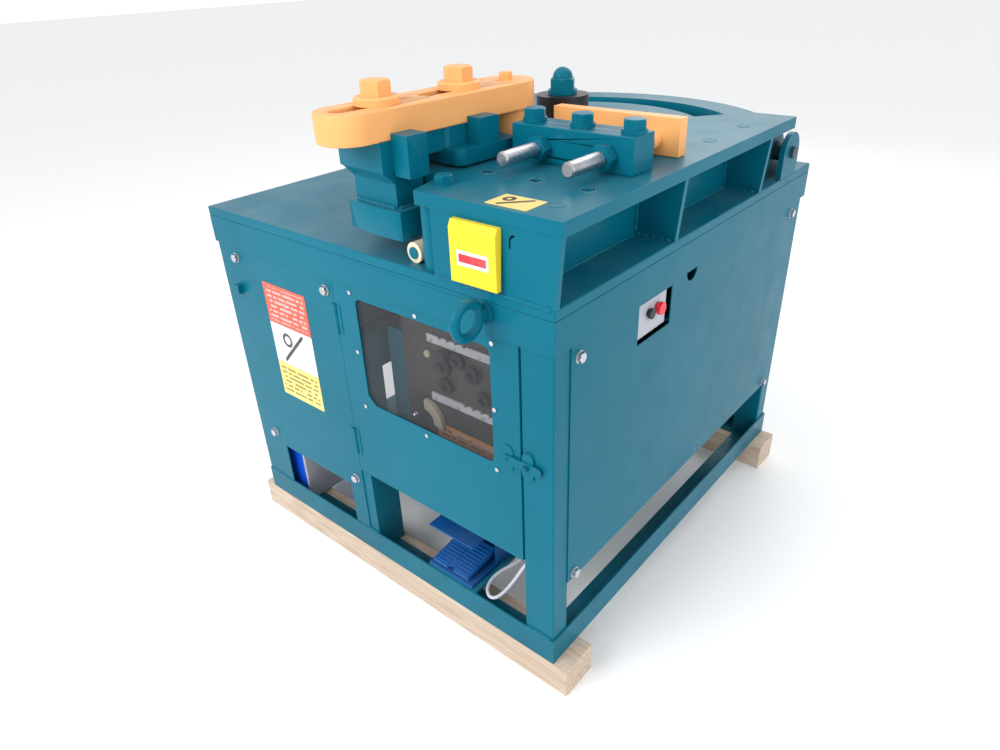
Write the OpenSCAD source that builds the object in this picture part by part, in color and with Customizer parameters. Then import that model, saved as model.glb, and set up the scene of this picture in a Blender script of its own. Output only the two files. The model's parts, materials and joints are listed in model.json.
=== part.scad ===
// Stationary hydraulic reinforcing-bar bender.
// Origin on the floor under the middle of the cabinet, +Z up, front towards -Y, right side towards +X.
// All lengths in millimetres, all angles in degrees.

/* [Cabinet] */
// Width over the rim, left to right
body_w = 1000; // [950:10:1250]
// Depth over the rim, front to back
body_d = 1100; // [1000:10:1350]
// Height of the base angles
base_h = 65; // [50:5:90]
// Width of the flat leg of the base angles
angle_w = 65; // [50:1:75]
// Wall of the posts
steel_t = 5; // [4:0.5:8]
// Height of the posts between the base and the rim
post_h = 673; // [560:5:810]
// Width of a corner post along X
post_w = 72; // [60:1:90]
// Depth of a corner post along Y
post_d = 50; // [40:1:70]
// Height of the rim band
rim_h = 64; // [50:1:80]
// Thickness of the lid plate
lid_t = 20; // [14:1:26]
// Sheet thickness of the bolted panels and the door
sheet_t = 2.5; // [2:0.5:4]
// Height from the base up to the lower edge of the side panels
panel_gap = 131; // [100:1:160]

/* [Skids] */
// Length of the timber skids, left to right
skid_len = 1068; // [1040:2:1300]
// Width of a skid
skid_w = 95; // [80:1:120]
// Height of a skid
skid_h = 75; // [60:1:105]

/* [Door] */
// Width of the windowed door
door_w = 492; // [440:2:510]
// Height of the door
door_h = 486; // [400:2:520]
// Width of the window opening
window_w = 358; // [300:2:380]
// Height of the window opening
window_h = 250; // [200:2:280]
// Largest opening angle the hinges allow
door_open = 110; // [90:5:120]

/* [Table] */
// Clear height between the lid and the table plate
table_gap = 120; // [105:1:150]
// Thickness of the table plate
table_t = 25; // [20:1:32]
// Radius of the round part of the table about the main shaft
disc_r = 462; // [440:2:480]
// Overhang of the table beyond the right side of the cabinet
table_over = 13; // [0:1:20]
// Depth of the straight right-hand part of the table
table_d = 908; // [880:2:920]
// Inner radius of the curved slot
slot_r_in = 313; // [290:1:330]
// Width of the curved slot
slot_w = 74; // [50:1:90]
// Plate thickness of the table supports
rib_t = 12; // [8:1:16]
// Radius of the round table post
prop_r = 26; // [20:1:32]

/* [Arm] */
// Offset of the main shaft from the cabinet's middle along X
shaft_x = 112; // [100:1:130]
// Offset of the main shaft from the cabinet's middle along Y
shaft_y = 10; // [0:1:20]
// Radius of the main shaft
shaft_r = 55; // [45:1:60]
// Direction of the arm at rest, measured from +X
home_angle = -93.5; // [-100:0.5:-88]
// Swing of the arm, clockwise from above
swing = 200; // [180:1:200]
// Width of the bar
bar_w = 115; // [100:1:125]
// Thickness of the bar
bar_t = 52; // [40:1:60]
// Distance from the shaft axis to the bending roller's axis
roller_reach = 183; // [176:1:190]
// Distance between the bar's two end centres
bar_span = 395; // [385:1:405]
// Radius of the bending roller
bend_r = 40; // [30:1:42]
// Radius of the centre roller
centre_r = 57.5; // [45:0.5:60]
// Height of the centre roller
centre_h = 68; // [66:1:72]
// Radius of the pin in the centre roller
pin_r = 24; // [18:1:28]
// Thread diameter of the two bar bolts
bar_bolt_d = 33; // [27:1:36]
// Distance between the two bar bolts
bar_bolt_gap = 198; // [180:1:210]
// Width of the lower arm
lower_w = 150; // [130:1:156]
// Thickness of the lower arm
lower_t = 54; // [45:1:60]
// Height of the lower arm above the lid
lower_lift = 40; // [36:1:44]
// Reach of the lower arm
arm_reach = 550; // [545:1:556]

/* [Reaction] */
// Length of the reaction block
block_l = 263; // [250:1:290]
// Depth of the reaction block
block_d = 70; // [60:1:76]
// Height of the reaction block
block_h = 66; // [56:1:70]
// Thread diameter of the block bolts
block_bolt_d = 24; // [20:1:27]
// Distance between neighbouring block bolts
block_pitch = 107; // [95:1:110]
// Distance between the two rows of threaded holes
row_gap = 138; // [120:1:150]
// Thread diameter of the adjusting studs
stud_d = 27; // [22:1:30]
// Thickness of the receiving plate
plate_t = 27; // [20:1:32]
// Length of the receiving plate
plate_l = 284; // [260:1:300]

/* [Drive] */
// Gear module
gear_m = 7; // [6.5:0.1:7.5]
// Teeth on the pinion
gear_n = 15; // [14:1:16]
// Face width of the pinion
gear_face = 80; // [60:1:100]
// Play between the teeth, measured across one tooth
gear_play = 0.4; // [0.2:0.1:0.8]
// Radius of the cylinder barrel
barrel_r = 62; // [50:1:75]
// Radius of the piston rod
rod_r = 25; // [20:1:30]

/* [Fits] */
// Radial clearance where one piece turns or slides on another
run_fit = 0.05; // [0.02:0.01:0.1]
// Gap left between moving pieces that pass each other
air = 1; // [0.5:0.1:2]

/* [Hidden] */
$fn = 48;

// Colours
green = [0.06, 0.47, 0.56];
orange = [0.98, 0.70, 0.36];
steel = [0.72, 0.72, 0.75];
black = [0.12, 0.11, 0.14];
yellow = [0.98, 0.85, 0.25];
blue = [0.08, 0.27, 0.56];
grey = [0.75, 0.76, 0.82];
pale = [0.85, 0.78, 0.66];

// Heights of the stack, from the floor up
z_base = skid_h;
z_post = z_base + base_h;
z_rim = z_post + post_h;
z_lid = z_rim + rim_h;
z_deck = z_lid + lid_t;
z_table = z_deck + table_gap;
z_top = z_table + table_t;

// Cabinet faces: the base, the posts and the panels stand in from the rim by these amounts
base_in = 2;
post_in = 6;
base_t = post_in - base_in;
z_foot = z_base + base_t;
panel_in = post_in - sheet_t;
left_x = -body_w / 2;
right_x = body_w / 2;
front_y = -body_d / 2;
rear_y = body_d / 2;
bolt_inset = 74;
panel_bolt_d = 12;
rim_t = 4.5;

// Front face, from left to right: panel, door, right post
door_gap = 1;
door_x1 = right_x - post_in - post_w - door_gap;
door_x0 = door_x1 - door_w;
hinge_x = door_x0 - door_gap / 2;
door_z1 = z_rim - 2;
door_z0 = door_z1 - door_h;
front_face = front_y + panel_in;
window_x0 = door_x0 + 69;
window_z0 = door_z0 + 214;
hinge_len = 70;
hinge_z = [door_z0 + 50, door_z0 + 364];
wall_x = door_x0 + 30;

// Table and what stands on it
table_x1 = right_x + table_over;
table_corner_x = shaft_x + 92;
slot_r_out = slot_r_in + slot_w;
slot_from = 49.4;
slot_to = 130.6;
wall_in_x = right_x - 85 - rib_t;
rib_y = [front_y + 385, front_y + 777];
prop = [shaft_x + 106, front_y + 35];
jack = [prop[0] + 2, front_y + 60];
jack_d = 20;
front_plate_x0 = right_x - 260;
hole_row_y = front_y + 160;
bolt_row_y = hole_row_y + row_gap;
hole_x = [for (i = [0:2]) right_x - 50 - (2 - i) * block_pitch];
block_x0 = hole_x[0] - (block_l - 2 * block_pitch) / 2 - 4;
block_y0 = bolt_row_y - block_d / 2;
stud_z = z_top + block_h / 2 - 4;
stud_x = [hole_x[0] + 0.38 * block_pitch, hole_x[2] - 0.32 * block_pitch];
plate_y0 = front_y + 424;
plate_x0 = block_x0 - 20;
pad_l = 22;
stud_tip_y = hole_row_y - 12;
stud_nut_af = 41;
nut_t = 20;
thread_play = 0.1;

// Arm, in its own frame: X outwards from the shaft, Y towards the side that faces right at rest
z_lower = z_deck + lower_lift;
z_lower_top = z_lower + lower_t;
roller_h = centre_h - 9;
z_bar = z_top + centre_h + air;
z_bar_top = z_bar + bar_t;
carrier_h = 52;
z_carrier = z_bar - carrier_h;
bolt_reach = [roller_reach + 131, roller_reach + 131 + bar_bolt_gap];
// the column clears the table's disc and stands under the outer clamp bolt
column_in = max(disc_r + 8, bolt_reach[1] - 42);
column_t = 64;
head_over = 26;
column_side = -4;
column_w = 120;
bar_slot_w = bar_bolt_d + 5;
bar_slot_l = 80 + bar_slot_w;
bar_washer_r = 41;
bar_washer_t = 14;
lug_side = 38;
lug_gap = 0.5;
support_t = lower_w / 2 + 15;
support_r = lower_lift / 2 - 0.5;
support_l = 40;
support_in = arm_reach - 56;

// Drive
pitch_r = gear_m * gear_n / 2;
travel = pitch_r * swing * PI / 180;
gear_z = z_post + 330;
z_tray = z_post + 4;
tank_y1 = front_y + 330;
tray_x1 = left_x + 390;
motor_x = left_x + 270;
motor_z = z_tray + 110;
bearing_r = 95;
bearing_h = 150;
z_shaft = gear_z - 40;
rack_w = 56;
rack_l = travel + 76;
rack_y0 = shaft_y - 38;
rack_x0 = shaft_x + pitch_r;
rack_back = 46;
add = 0.8 * gear_m;
ded = gear_m;
cyl_x = rack_x0 + rack_back / 2 + 6;
barrel_y0 = rack_y0 + rack_l + 10;
barrel_l = travel + 50;
z_tank = z_foot + 340;

// Controls
switch_y = front_y + 331;
switch_z = z_base + 689;
switch_w = 115;
switch_hh = 76;
button_y = [switch_y - 10, switch_y + 22];
button_z = switch_z + 7;
switch_face = right_x - 10;
button_r = [11, 13];
flap_x = right_x - 204;
flap_w = 100;
flap_h = 106;
flap_z0 = z_deck + 10;
flap_d = 16;
flap_pin = [-6, flap_h - 14];
flap_t = 2.5;
eye_r = 30;
eye_wire = 9;
eye_x = right_x - 145;
lug_y0 = front_y + 950;
lug_z = z_deck + 56;
lug_r = 46;
eye_z = z_rim + 45;
gauge_y = front_y + 64;
rail_x0 = window_x0 + 141;
rail_z = [z_base + 500, z_base + 637];
zero = [rail_x0 - 19, rail_z[0] - 55];
pedal_x = right_x - 351;
pedal_w = 106;
pedal_d = 96;
foot_z = z_post + 5;
latch_x = door_x1 - 30;
latch_z = z_base + 491;
stud_reach = 47;

// Rounded rectangle from squares and circles, lower left corner at the origin
module rounded(w, d, r) {
    translate([r, 0]) square([w - 2 * r, d]);
    translate([0, r]) square([w, d - 2 * r]);
    for (x = [r, w - r], y = [r, d - r]) translate([x, y]) circle(r);
}

// Places its children in the arm's own frame
module arm_frame() {
    translate([shaft_x, shaft_y, 0]) rotate([0, 0, home_angle]) children();
}

// Hexagonal head across its flats, base at the origin, its upper corners turned off at 30 degrees
module hex(af, h) {
    intersection() {
        cylinder(r = af / sqrt(3), h = h, $fn = 6);
        cylinder(r1 = 0.475 * af + h * sqrt(3), r2 = 0.475 * af, h = h);
    }
}

// Hexagon bolt along +Z: shank below the origin, washer and head above
module hex_bolt(d, af, head, shank, washer = 0, washer_r = 0) {
    translate([0, 0, -shank]) cylinder(d = d, h = shank);
    if (washer > 0) cylinder(r = washer_r, h = washer);
    translate([0, 0, washer]) hex(af, head);
}

// Turns +Z to point out of a cabinet face: 0 front, 90 right, 180 rear, 270 left
module out_of_face(turn) {
    rotate([0, 0, turn]) rotate([90, 0, 0]) children();
}

// Box between two corners
module block(a, b) {
    translate(a) cube(b - a);
}

module base_frame() {
    w = body_w - 2 * base_in;
    d = body_d - 2 * base_in;
    color(green) {
        // angle iron all round: upright leg outside, flat leg on the skids
        translate([0, 0, z_base]) difference() {
            translate([-w / 2, -d / 2, 0]) cube([w, d, base_h]);
            translate([-w / 2 + base_t, -d / 2 + base_t, base_t]) cube([w - 2 * base_t, d - 2 * base_t, base_h]);
            translate([-w / 2 + angle_w, -d / 2 + angle_w, -1]) cube([w - 2 * angle_w, d - 2 * angle_w, base_h]);
        }
        // shelf for the foot switch with its front leg, and the tray of the power pack with the bar under it
        block([pedal_x - 15, front_y + post_in, z_post], [pedal_x + pedal_w + 27, front_y + 192, z_post + 5]);
        block([pedal_x - 15, front_y + post_in, z_foot], [pedal_x + pedal_w + 27, front_y + post_in + 5, z_post]);
        block([left_x + base_in, tank_y1 + 15, z_post], [tray_x1, 380, z_tray]);
        block([tray_x1 - 40, tank_y1 + 15, z_post - 30], [tray_x1, d / 2 - base_t, z_post]);
    }
}

module post_tube(x, y) {
    translate([x, y, z_foot]) linear_extrude(z_lid - z_foot) difference() {
        rounded(post_w, post_d, 4);
        translate([steel_t, steel_t]) square([post_w - 2 * steel_t, post_d - 2 * steel_t]);
    }
}

module corner_posts() {
    color(green) {
        for (x = [left_x + post_in, right_x - post_in - post_w], y = [front_y + post_in, rear_y - post_in - post_d])
            difference() {
                post_tube(x, y);
                panel_bolt_holes();
            }
        // middle post with its inner wall behind the door
        difference() {
            union() {
                block([door_x0 - 30, front_y + post_in, z_foot], [wall_x, front_y + post_in + steel_t, door_z0 - 4]);
                block([wall_x - steel_t, front_y + post_in + steel_t, z_foot], [wall_x, front_y + 83, z_lid]);
            }
            panel_bolt_holes();
        }
    }
}

// Clearance holes of every panel bolt, as solids to subtract
module panel_bolt_holes() {
    for (p = bolt_places()) translate([p[0], p[1], p[2]]) out_of_face(p[3])
        translate([0, 0, -40]) cylinder(d = panel_bolt_d + 0.6, h = 60);
}

function panel_z() = [z_post + panel_gap + 15, z_rim - 28];

// Place and face of every panel bolt: x, y, z, turn
function bolt_places() = concat(
    [for (x = [left_x + bolt_inset, door_x0 - 24], z = [z_post + 150, z_rim - 28])
        [x, front_y + panel_in, z, 0]],
    [for (y = [front_y + bolt_inset, rear_y - bolt_inset], z = panel_z())
        [right_x - panel_in, y, z, 90]],
    [for (y = [front_y + bolt_inset, rear_y - bolt_inset], z = panel_z())
        [left_x + panel_in, y, z, 270]],
    [for (x = [left_x + bolt_inset - 30, right_x - bolt_inset + 30], z = panel_z())
        [x, rear_y - panel_in, z, 180]]);

module rim_frame() {
    color(green) translate([0, 0, z_rim]) difference() {
        translate([left_x, front_y, 0]) cube([body_w, body_d, rim_h]);
        translate([left_x + rim_t, front_y + rim_t, -1])
            cube([body_w - 2 * rim_t, body_d - 2 * rim_t, rim_h + 2]);
        for (s = [-1, 1]) translate([eye_x, s * body_d / 2, eye_z - z_rim]) rotate([90, 0, 0])
            cylinder(d = 20 + 2 * thread_play, h = 40, center = true);
    }
}

module lid_plate() {
    color(green) difference() {
        translate([left_x, front_y, z_lid]) cube([body_w, body_d, lid_t]);
        translate([shaft_x, shaft_y, z_lid - 1]) cylinder(r = shaft_r + air, h = lid_t + 2);
        // cable hole under the return switch
        translate([flap_x + flap_w / 2, front_y + rib_t + 30, z_lid - 1]) cylinder(r = 12, h = lid_t + 2);
    }
}

module table_outline() {
    difference() {
        union() {
            translate([shaft_x, shaft_y]) circle(disc_r, $fn = 96);
            polygon([[table_corner_x, front_y], [table_x1, front_y], [table_x1, front_y + table_d],
                [shaft_x + 200, front_y + table_d], [shaft_x, shaft_y], [table_corner_x - 27, front_y + 102]]);
        }
        translate([table_x1, -body_d]) square(2 * body_d);
        // curved slot, ended by two radial cuts
        translate([shaft_x, shaft_y]) intersection() {
            difference() {
                circle(slot_r_out, $fn = 96);
                circle(slot_r_in, $fn = 96);
            }
            polygon([[0, 0], 600 * [cos(slot_from), sin(slot_from)], 600 * [cos(90), sin(90)],
                600 * [cos(slot_to), sin(slot_to)]]);
        }
    }
}

module table_plate() {
    color(green) difference() {
        translate([0, 0, z_table]) linear_extrude(table_t) table_outline();
        translate([shaft_x, shaft_y, z_table - 1]) cylinder(r = pin_r + run_fit, h = table_t + 2);
        for (x = hole_x, y = [hole_row_y, bolt_row_y]) translate([x, y, z_table - 1])
            cylinder(d = block_bolt_d + 2 * thread_play, h = table_t + 2);
        translate([jack[0], jack[1], z_table - 1]) cylinder(d = jack_d + 2 * thread_play, h = table_t + 2);
    }
}

// Support plate across X, its right edge leaning out to meet the table
module cross_rib(x0, y) {
    translate([0, y + rib_t, 0]) rotate([90, 0, 0]) linear_extrude(rib_t)
        polygon([[x0, z_deck], [right_x, z_deck], [table_x1 - 2, z_table], [x0, z_table]]);
}

module table_supports() {
    color(green) {
        difference() {
            cross_rib(front_plate_x0, front_y);
            // window of the return switch, and the small hooked slot beside it
            block([flap_x + 18, front_y - 1, flap_z0 + 18], [flap_x + flap_w - 18, front_y + rib_t + 1, flap_z0 + 80]);
            translate([flap_x + flap_w + 26, front_y + rib_t + 1, z_table - 24]) rotate([90, 0, 0])
                linear_extrude(rib_t + 2) {
                    translate([-12, -12]) square([4, 12]);
                    intersection() {
                        difference() {
                            circle(12);
                            circle(8);
                        }
                        translate([-12, 0]) square(12);
                    }
                }
        }
        for (y = rib_y) cross_rib(wall_in_x + rib_t, y);
        block([wall_in_x, front_y + rib_t, z_deck], [wall_in_x + rib_t, rib_y[1] + rib_t, z_table]);
        block([shaft_x + 150, rib_y[0], z_deck], [wall_in_x, rib_y[0] + rib_t, z_table]);
        translate([prop[0], prop[1], z_deck]) cylinder(r = prop_r, h = table_gap);
    }
}

module front_panel() {
    x0 = left_x + post_in;
    x1 = hinge_x - door_gap / 2;
    color(green) {
        difference() {
            block([x0, front_face, z_post], [x1, front_face + sheet_t, z_rim - 2]);
            block([x0 + 105, front_face - 1, z_post - 1], [x1 - 50, front_face + 10, z_post + 118]);
            panel_bolt_holes();
            for (z = hinge_z) translate([hinge_x, front_face, z - 1]) cylinder(r = 6.5, h = hinge_len + 2);
        }
        // fixed hinge leaves with their pins, and a small square grounding lug
        for (z = hinge_z) {
            difference() {
                block([hinge_x - 18, front_face - 1.2, z], [hinge_x - 0.5, front_face, z + hinge_len]);
                translate([hinge_x, front_face, z + 20]) cylinder(r = 6.5, h = hinge_len - 40);
            }
            translate([hinge_x, front_face, z + 1]) cylinder(r = 3, h = hinge_len - 2);
            for (dz = [0, hinge_len - 20]) translate([hinge_x, front_face, z + dz]) cylinder(r = 5.5, h = 20);
        }
        translate([x0 + 52, front_face - 14, z_rim - 118]) cube([14, 14, 22]);
    }
}

module side_sheet() {
    block([right_x - panel_in - sheet_t, front_y + 52, z_post + panel_gap],
        [right_x - panel_in, rear_y - 52, z_rim - 2]);
}

module right_panel() {
    color(green) difference() {
        side_sheet();
        panel_bolt_holes();
        block([right_x - 20, switch_y - switch_w / 2 - 1, switch_z - switch_hh / 2 - 7],
            [right_x, switch_y + switch_w / 2 + 12, switch_z + switch_hh / 2 + 1]);
        // cut where the stop pin of the side bar used to pass: a half disc under a straight edge
        translate([right_x - 20, front_y + 483, z_base + 733]) rotate([0, 90, 0]) intersection() {
            cylinder(r = 23, h = 30);
            translate([0, -25, 0]) cube([25, 50, 30]);
        }
    }
}

module left_panel() {
    color(green) difference() {
        mirror([1, 0, 0]) side_sheet();
        panel_bolt_holes();
        // cooling slots
        for (i = [0:6]) translate([left_x - 1, -150 + i * 50, z_post + 420]) cube([20, 8, 120]);
    }
}

module rear_panel() {
    color(green) difference() {
        block([left_x + 14, rear_y - panel_in - sheet_t, z_post + panel_gap],
            [right_x - 14, rear_y - panel_in, z_rim - 2]);
        panel_bolt_holes();
        // power inlet and cooling slots
        translate([left_x + 150, rear_y, z_post + 180]) rotate([90, 0, 0]) cylinder(r = 14, h = 30);
        for (i = [0:6]) translate([-60 + i * 50, rear_y - 20, z_post + 420]) cube([8, 30, 120]);
    }
}

module panel_bolts() {
    color(steel) for (p = bolt_places()) translate([p[0], p[1], p[2]]) out_of_face(p[3])
        hex_bolt(panel_bolt_d, 18, 8, 12, 2, 12);
}

module lifting_eyes() {
    color(green) for (s = [0, 1]) mirror([0, s, 0]) translate([eye_x, front_y, eye_z]) rotate([90, 0, 0]) {
        translate([0, 0, -24]) cylinder(d = 20, h = 24);
        cylinder(r = 19, h = 8);
        cylinder(r = 12, h = 18);
        translate([0, 0, 8 + eye_r + eye_wire]) rotate([0, 90, 0]) rotate_extrude($fn = 64)
            translate([eye_r, 0]) circle(eye_wire, $fn = 24);
    }
}

module skids() {
    color(pale) for (s = [0, 1]) mirror([0, s, 0])
        translate([-skid_len / 2, front_y, 0]) cube([skid_len, skid_w, skid_h]);
}

module switch_plate() {
    y0 = switch_y - switch_w / 2;
    z0 = switch_z - switch_hh / 2;
    color(grey) difference() {
        union() {
            block([switch_face - 46, y0, z0], [switch_face, y0 + switch_w, z0 + switch_hh]);
            // tab behind the panel's edge
            block([switch_face - 6, y0 - 16, z0 + 10], [right_x - post_in, y0 - 1.5, z0 + switch_hh - 10]);
            block([switch_face - 6, y0 - 2, z0 + 10], [switch_face - 2, y0 + 1, z0 + switch_hh - 10]);
        }
        block([switch_face - 40, y0 + 5, z0 + 5], [switch_face - 4, y0 + switch_w - 5, z0 + switch_hh - 5]);
        for (i = [0, 1]) translate([switch_face - 20, button_y[i], button_z]) rotate([0, 90, 0])
            cylinder(r = button_r[i] - 3 + run_fit, h = 30);
    }
}

// Push button on the right side: stem through the plate, cap outside
module push_button(i, cap) {
    translate([switch_face, button_y[i], button_z]) rotate([0, 90, 0]) {
        translate([0, 0, -18]) cylinder(r = button_r[i] - 3, h = 24);
        translate([0, 0, 5]) cylinder(r = button_r[i], h = cap);
    }
}

module start_button() {
    color(black) push_button(0, 5);
}

module stop_button() {
    color([0.85, 0.1, 0.15]) push_button(1, 9);
}

module return_switch() {
    color(black) {
        block([flap_x + 30, front_y + 2, flap_z0 + 24], [flap_x + flap_w - 30, front_y + rib_t + 40, flap_z0 + 74]);
        block([flap_x + flap_w / 2 - 6, front_y - 10, flap_z0 + 30],
            [flap_x + flap_w / 2 + 6, front_y + 2, flap_z0 + 42]);
    }
    color(green) for (x = [flap_x + flap_t + 0.5, flap_x + flap_w - flap_t - 6.5])
        difference() {
            block([x, front_y - 10, flap_z0 + flap_h - 21], [x + 6, front_y, flap_z0 + flap_h - 7]);
            translate([x - 1, front_y + flap_pin[0], flap_z0 + flap_pin[1]]) rotate([0, 90, 0])
                cylinder(r = 2.5 + run_fit, h = 8);
        }
}

// Outline of the flap seen from the side: Y forwards is negative, top corner bevelled
flap_side = [[-5.6, 0], [-flap_d, 0], [-flap_d, flap_h - 12], [-flap_d + 6, flap_h], [-0.5, flap_h],
    [-0.5, flap_pin[1]]];

module return_flap() {
    color(yellow) translate([flap_x, front_y, flap_z0]) {
        difference() {
            rotate([90, 0, 90]) linear_extrude(flap_w) polygon(flap_side);
            translate([flap_t, 0, -1]) rotate([90, 0, 90]) linear_extrude(flap_w - 2 * flap_t)
                polygon([[1, -1], [-flap_d + flap_t, -1], [-flap_d + flap_t, flap_h - 13],
                    [-flap_d + 7, flap_h - flap_t], [1, flap_h - flap_t]]);
        }
        translate([flap_t, flap_pin[0], flap_pin[1]]) rotate([0, 90, 0]) cylinder(r = 2.5, h = flap_w - 2 * flap_t);
    }
}

module reaction_block() {
    color(green) difference() {
        translate([block_x0, block_y0, z_top]) cube([block_l, block_d, block_h]);
        for (x = hole_x) translate([x, bolt_row_y, z_top - 1]) cylinder(d = block_bolt_d + 1, h = block_h + 2);
        for (x = stud_x) translate([x, block_y0 - 1, stud_z]) rotate([-90, 0, 0])
            cylinder(d = stud_d + 2 * thread_play, h = block_d + 2);
    }
}

module block_bolts() {
    color(green) for (x = hole_x) translate([x, bolt_row_y, z_top + block_h])
        hex_bolt(block_bolt_d, 38, 17, block_h + table_t, 7, 23);
    // jack bolt at the table's front corner
    color(green) translate([jack[0], jack[1], z_top]) hex_bolt(jack_d, 30, 13, table_t, 3, 18);
}

module receiving_plate() {
    color(orange) {
        translate([plate_x0, plate_y0, z_top + air]) cube([plate_l, plate_t, block_h + 3]);
        for (x = stud_x) translate([x, plate_y0 - pad_l, stud_z]) rotate([-90, 0, 0]) cylinder(r = 19, h = pad_l);
    }
}

module adjusting_studs() {
    color(steel) for (x = stud_x) translate([x, stud_tip_y, stud_z]) rotate([-90, 0, 0]) {
        translate([0, 0, 3]) cylinder(d = stud_d, h = plate_y0 - pad_l - stud_tip_y - 3);
        cylinder(d1 = stud_d - 6, d2 = stud_d, h = 3);
    }
}

module lock_nuts() {
    color(green) for (x = stud_x) translate([x, block_y0 - nut_t, stud_z]) rotate([-90, 0, 0]) difference() {
        hex(stud_nut_af, nut_t);
        translate([0, 0, -1]) cylinder(d = stud_d + 2 * thread_play, h = nut_t + 2);
    }
}

module drive_bed() {
    color(green) difference() {
        union() {
            // bed plate across the cabinet, under the rack and the cylinder
            block([left_x + post_in + post_w, -110, gear_z - 52], [right_x - 12, 400, gear_z - 40]);
            block([left_x + post_in + post_w, -110, gear_z - 40], [left_x + post_in + post_w + 8, 400, gear_z + 20]);
            // guide for the back of the rack
            block([rack_x0 + rack_back + run_fit, -70, gear_z - 40], [rack_x0 + rack_back + 30, 40, gear_z + 70]);
            block([rack_x0 + ded + 12, -70, gear_z - 40], [rack_x0 + rack_back + 30, 40, gear_z + 8 - run_fit]);
            // upright behind the edge of the gauge board
            block([window_x0 + 12, gauge_y + 4, door_z0 + 60], [window_x0 + 64.5, gauge_y + 9, z_base + 631]);
            // hanger plates up to the lid
            block([left_x + 150, -110, gear_z - 40], [left_x + 160, -60, z_lid]);
            block([right_x - 60, 120, gear_z - 40], [right_x - 50, 190, z_lid]);
        }
        translate([shaft_x, shaft_y, gear_z - 60]) cylinder(r = shaft_r - 15 + run_fit, h = 30);
    }
}

module bearing_housing() {
    color(green) translate([shaft_x, shaft_y, z_lid - bearing_h]) difference() {
        union() {
            cylinder(r = bearing_r, h = bearing_h);
            translate([0, 0, bearing_h - 25]) cylinder(r = bearing_r + 40, h = 25);
        }
        translate([0, 0, -1]) cylinder(r = shaft_r + run_fit, h = bearing_h + 2);
    }
}

module main_shaft() {
    top = z_lower_top + 6;
    color(steel) translate([shaft_x, shaft_y, 0]) difference() {
        union() {
            translate([0, 0, gear_z - 52]) cylinder(r = shaft_r - 15, h = 52);
            translate([0, 0, gear_z]) cylinder(r = shaft_r - 18, h = gear_face);
            translate([0, 0, gear_z + gear_face]) cylinder(r = shaft_r, h = top - gear_z - gear_face);
        }
        translate([0, 0, top - 160]) cylinder(r = pin_r + run_fit, h = 161);
    }
}

// Involute tooth flank: unwinding angle t from the base circle
function involute(rb, t) = rb * [cos(t) + t * PI / 180 * sin(t), sin(t) - t * PI / 180 * cos(t)];
function turned(p, a) = [p[0] * cos(a) - p[1] * sin(a), p[0] * sin(a) + p[1] * cos(a)];

module gear_outline(m, n, play) {
    rp = m * n / 2;
    rb = rp * cos(20);
    ro = rp + add;
    rr = rp - ded;
    t_end = sqrt(ro * ro / rb / rb - 1) * 180 / PI;
    t_pitch = tan(20) * 180 / PI;
    lead = t_pitch - 20;
    half = 90 / n - play / rp / 2 * 180 / PI;
    flank = [for (i = [0:5]) turned(involute(rb, t_end * i / 5), -half - lead)];
    polygon([for (k = [0:n - 1]) for (p = concat(
        [rr * [cos(-half - lead), sin(-half - lead)]], flank,
        [for (i = [5:-1:0]) [flank[i][0], -flank[i][1]]],
        [rr * [cos(half + lead), sin(half + lead)]])) turned(p, k * 360 / n)]);
}

module pinion_gear() {
    color(steel) translate([shaft_x, shaft_y, gear_z]) difference() {
        linear_extrude(gear_face) gear_outline(gear_m, gear_n, gear_play);
        translate([0, 0, -1]) cylinder(r = shaft_r - 18, h = gear_face + 2);
    }
}

module drive_rack() {
    pitch = PI * gear_m;
    half = pitch / 4 - gear_play / 2;
    slope = tan(20);
    first = ceil((rack_y0 - shaft_y + half + 3) / pitch - 0.5);
    last = floor((rack_y0 - shaft_y + rack_l - half - 3) / pitch - 0.5);
    color(steel) {
        translate([0, 0, gear_z + 8]) linear_extrude(rack_w) union() {
            translate([rack_x0 + ded, rack_y0]) square([rack_back - ded, rack_l]);
            // a tooth space faces the pinion's tooth at rest
            for (k = [first:last]) translate([rack_x0, shaft_y + (k + 0.5) * pitch]) polygon([
                [ded + 0.01, -half - ded * slope], [-add, -half + add * slope],
                [-add, half - add * slope], [ded + 0.01, half + ded * slope]]);
        }
        translate([cyl_x, rack_y0 + rack_l, gear_z + 8 + rack_w / 2]) rotate([-90, 0, 0])
            cylinder(r = rod_r, h = travel + 34);
    }
}

module cylinder_barrel() {
    z = gear_z + 8 + rack_w / 2;
    color(green) {
        translate([cyl_x, barrel_y0, z]) rotate([-90, 0, 0]) difference() {
            union() {
                cylinder(r = barrel_r, h = barrel_l);
                translate([-barrel_r, -barrel_r, 0]) cube([2 * barrel_r, 2 * barrel_r, 24]);
                translate([-8, -barrel_r - 4, barrel_l - 34]) cube([40, barrel_r / 2, 28]);
            }
            translate([0, 0, -1]) cylinder(r = rod_r + run_fit, h = 30);
            translate([0, 0, 20]) cylinder(r = barrel_r - 12, h = barrel_l - 35);
        }
        // feet down to the bed
        block([cyl_x - 50, barrel_y0 + 2, gear_z - 40], [cyl_x + 50, barrel_y0 + 22, z - barrel_r + 2]);
    }
}

module oil_tank() {
    a = [left_x + 82, front_y + 25, z_foot];
    b = [left_x + 140, tank_y1, z_tank];
    wall = [3, 3, 3];
    color(blue) difference() {
        block(a, b);
        block(a + wall, b - wall);
    }
}

module motor() {
    color(blue) {
        translate([motor_x, 130, motor_z]) rotate([-90, 0, 0]) {
            cylinder(r = 88, h = 130);
            for (i = [0:17]) rotate([0, 0, i * 20]) translate([86, -2, 10]) cube([10, 4, 105]);
        }
        block([motor_x - 70, 150, z_tray], [motor_x + 70, 230, z_tray + 60]);
        block([motor_x - 40, 160, motor_z + 80], [motor_x + 40, 240, motor_z + 125]);
    }
}

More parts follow.
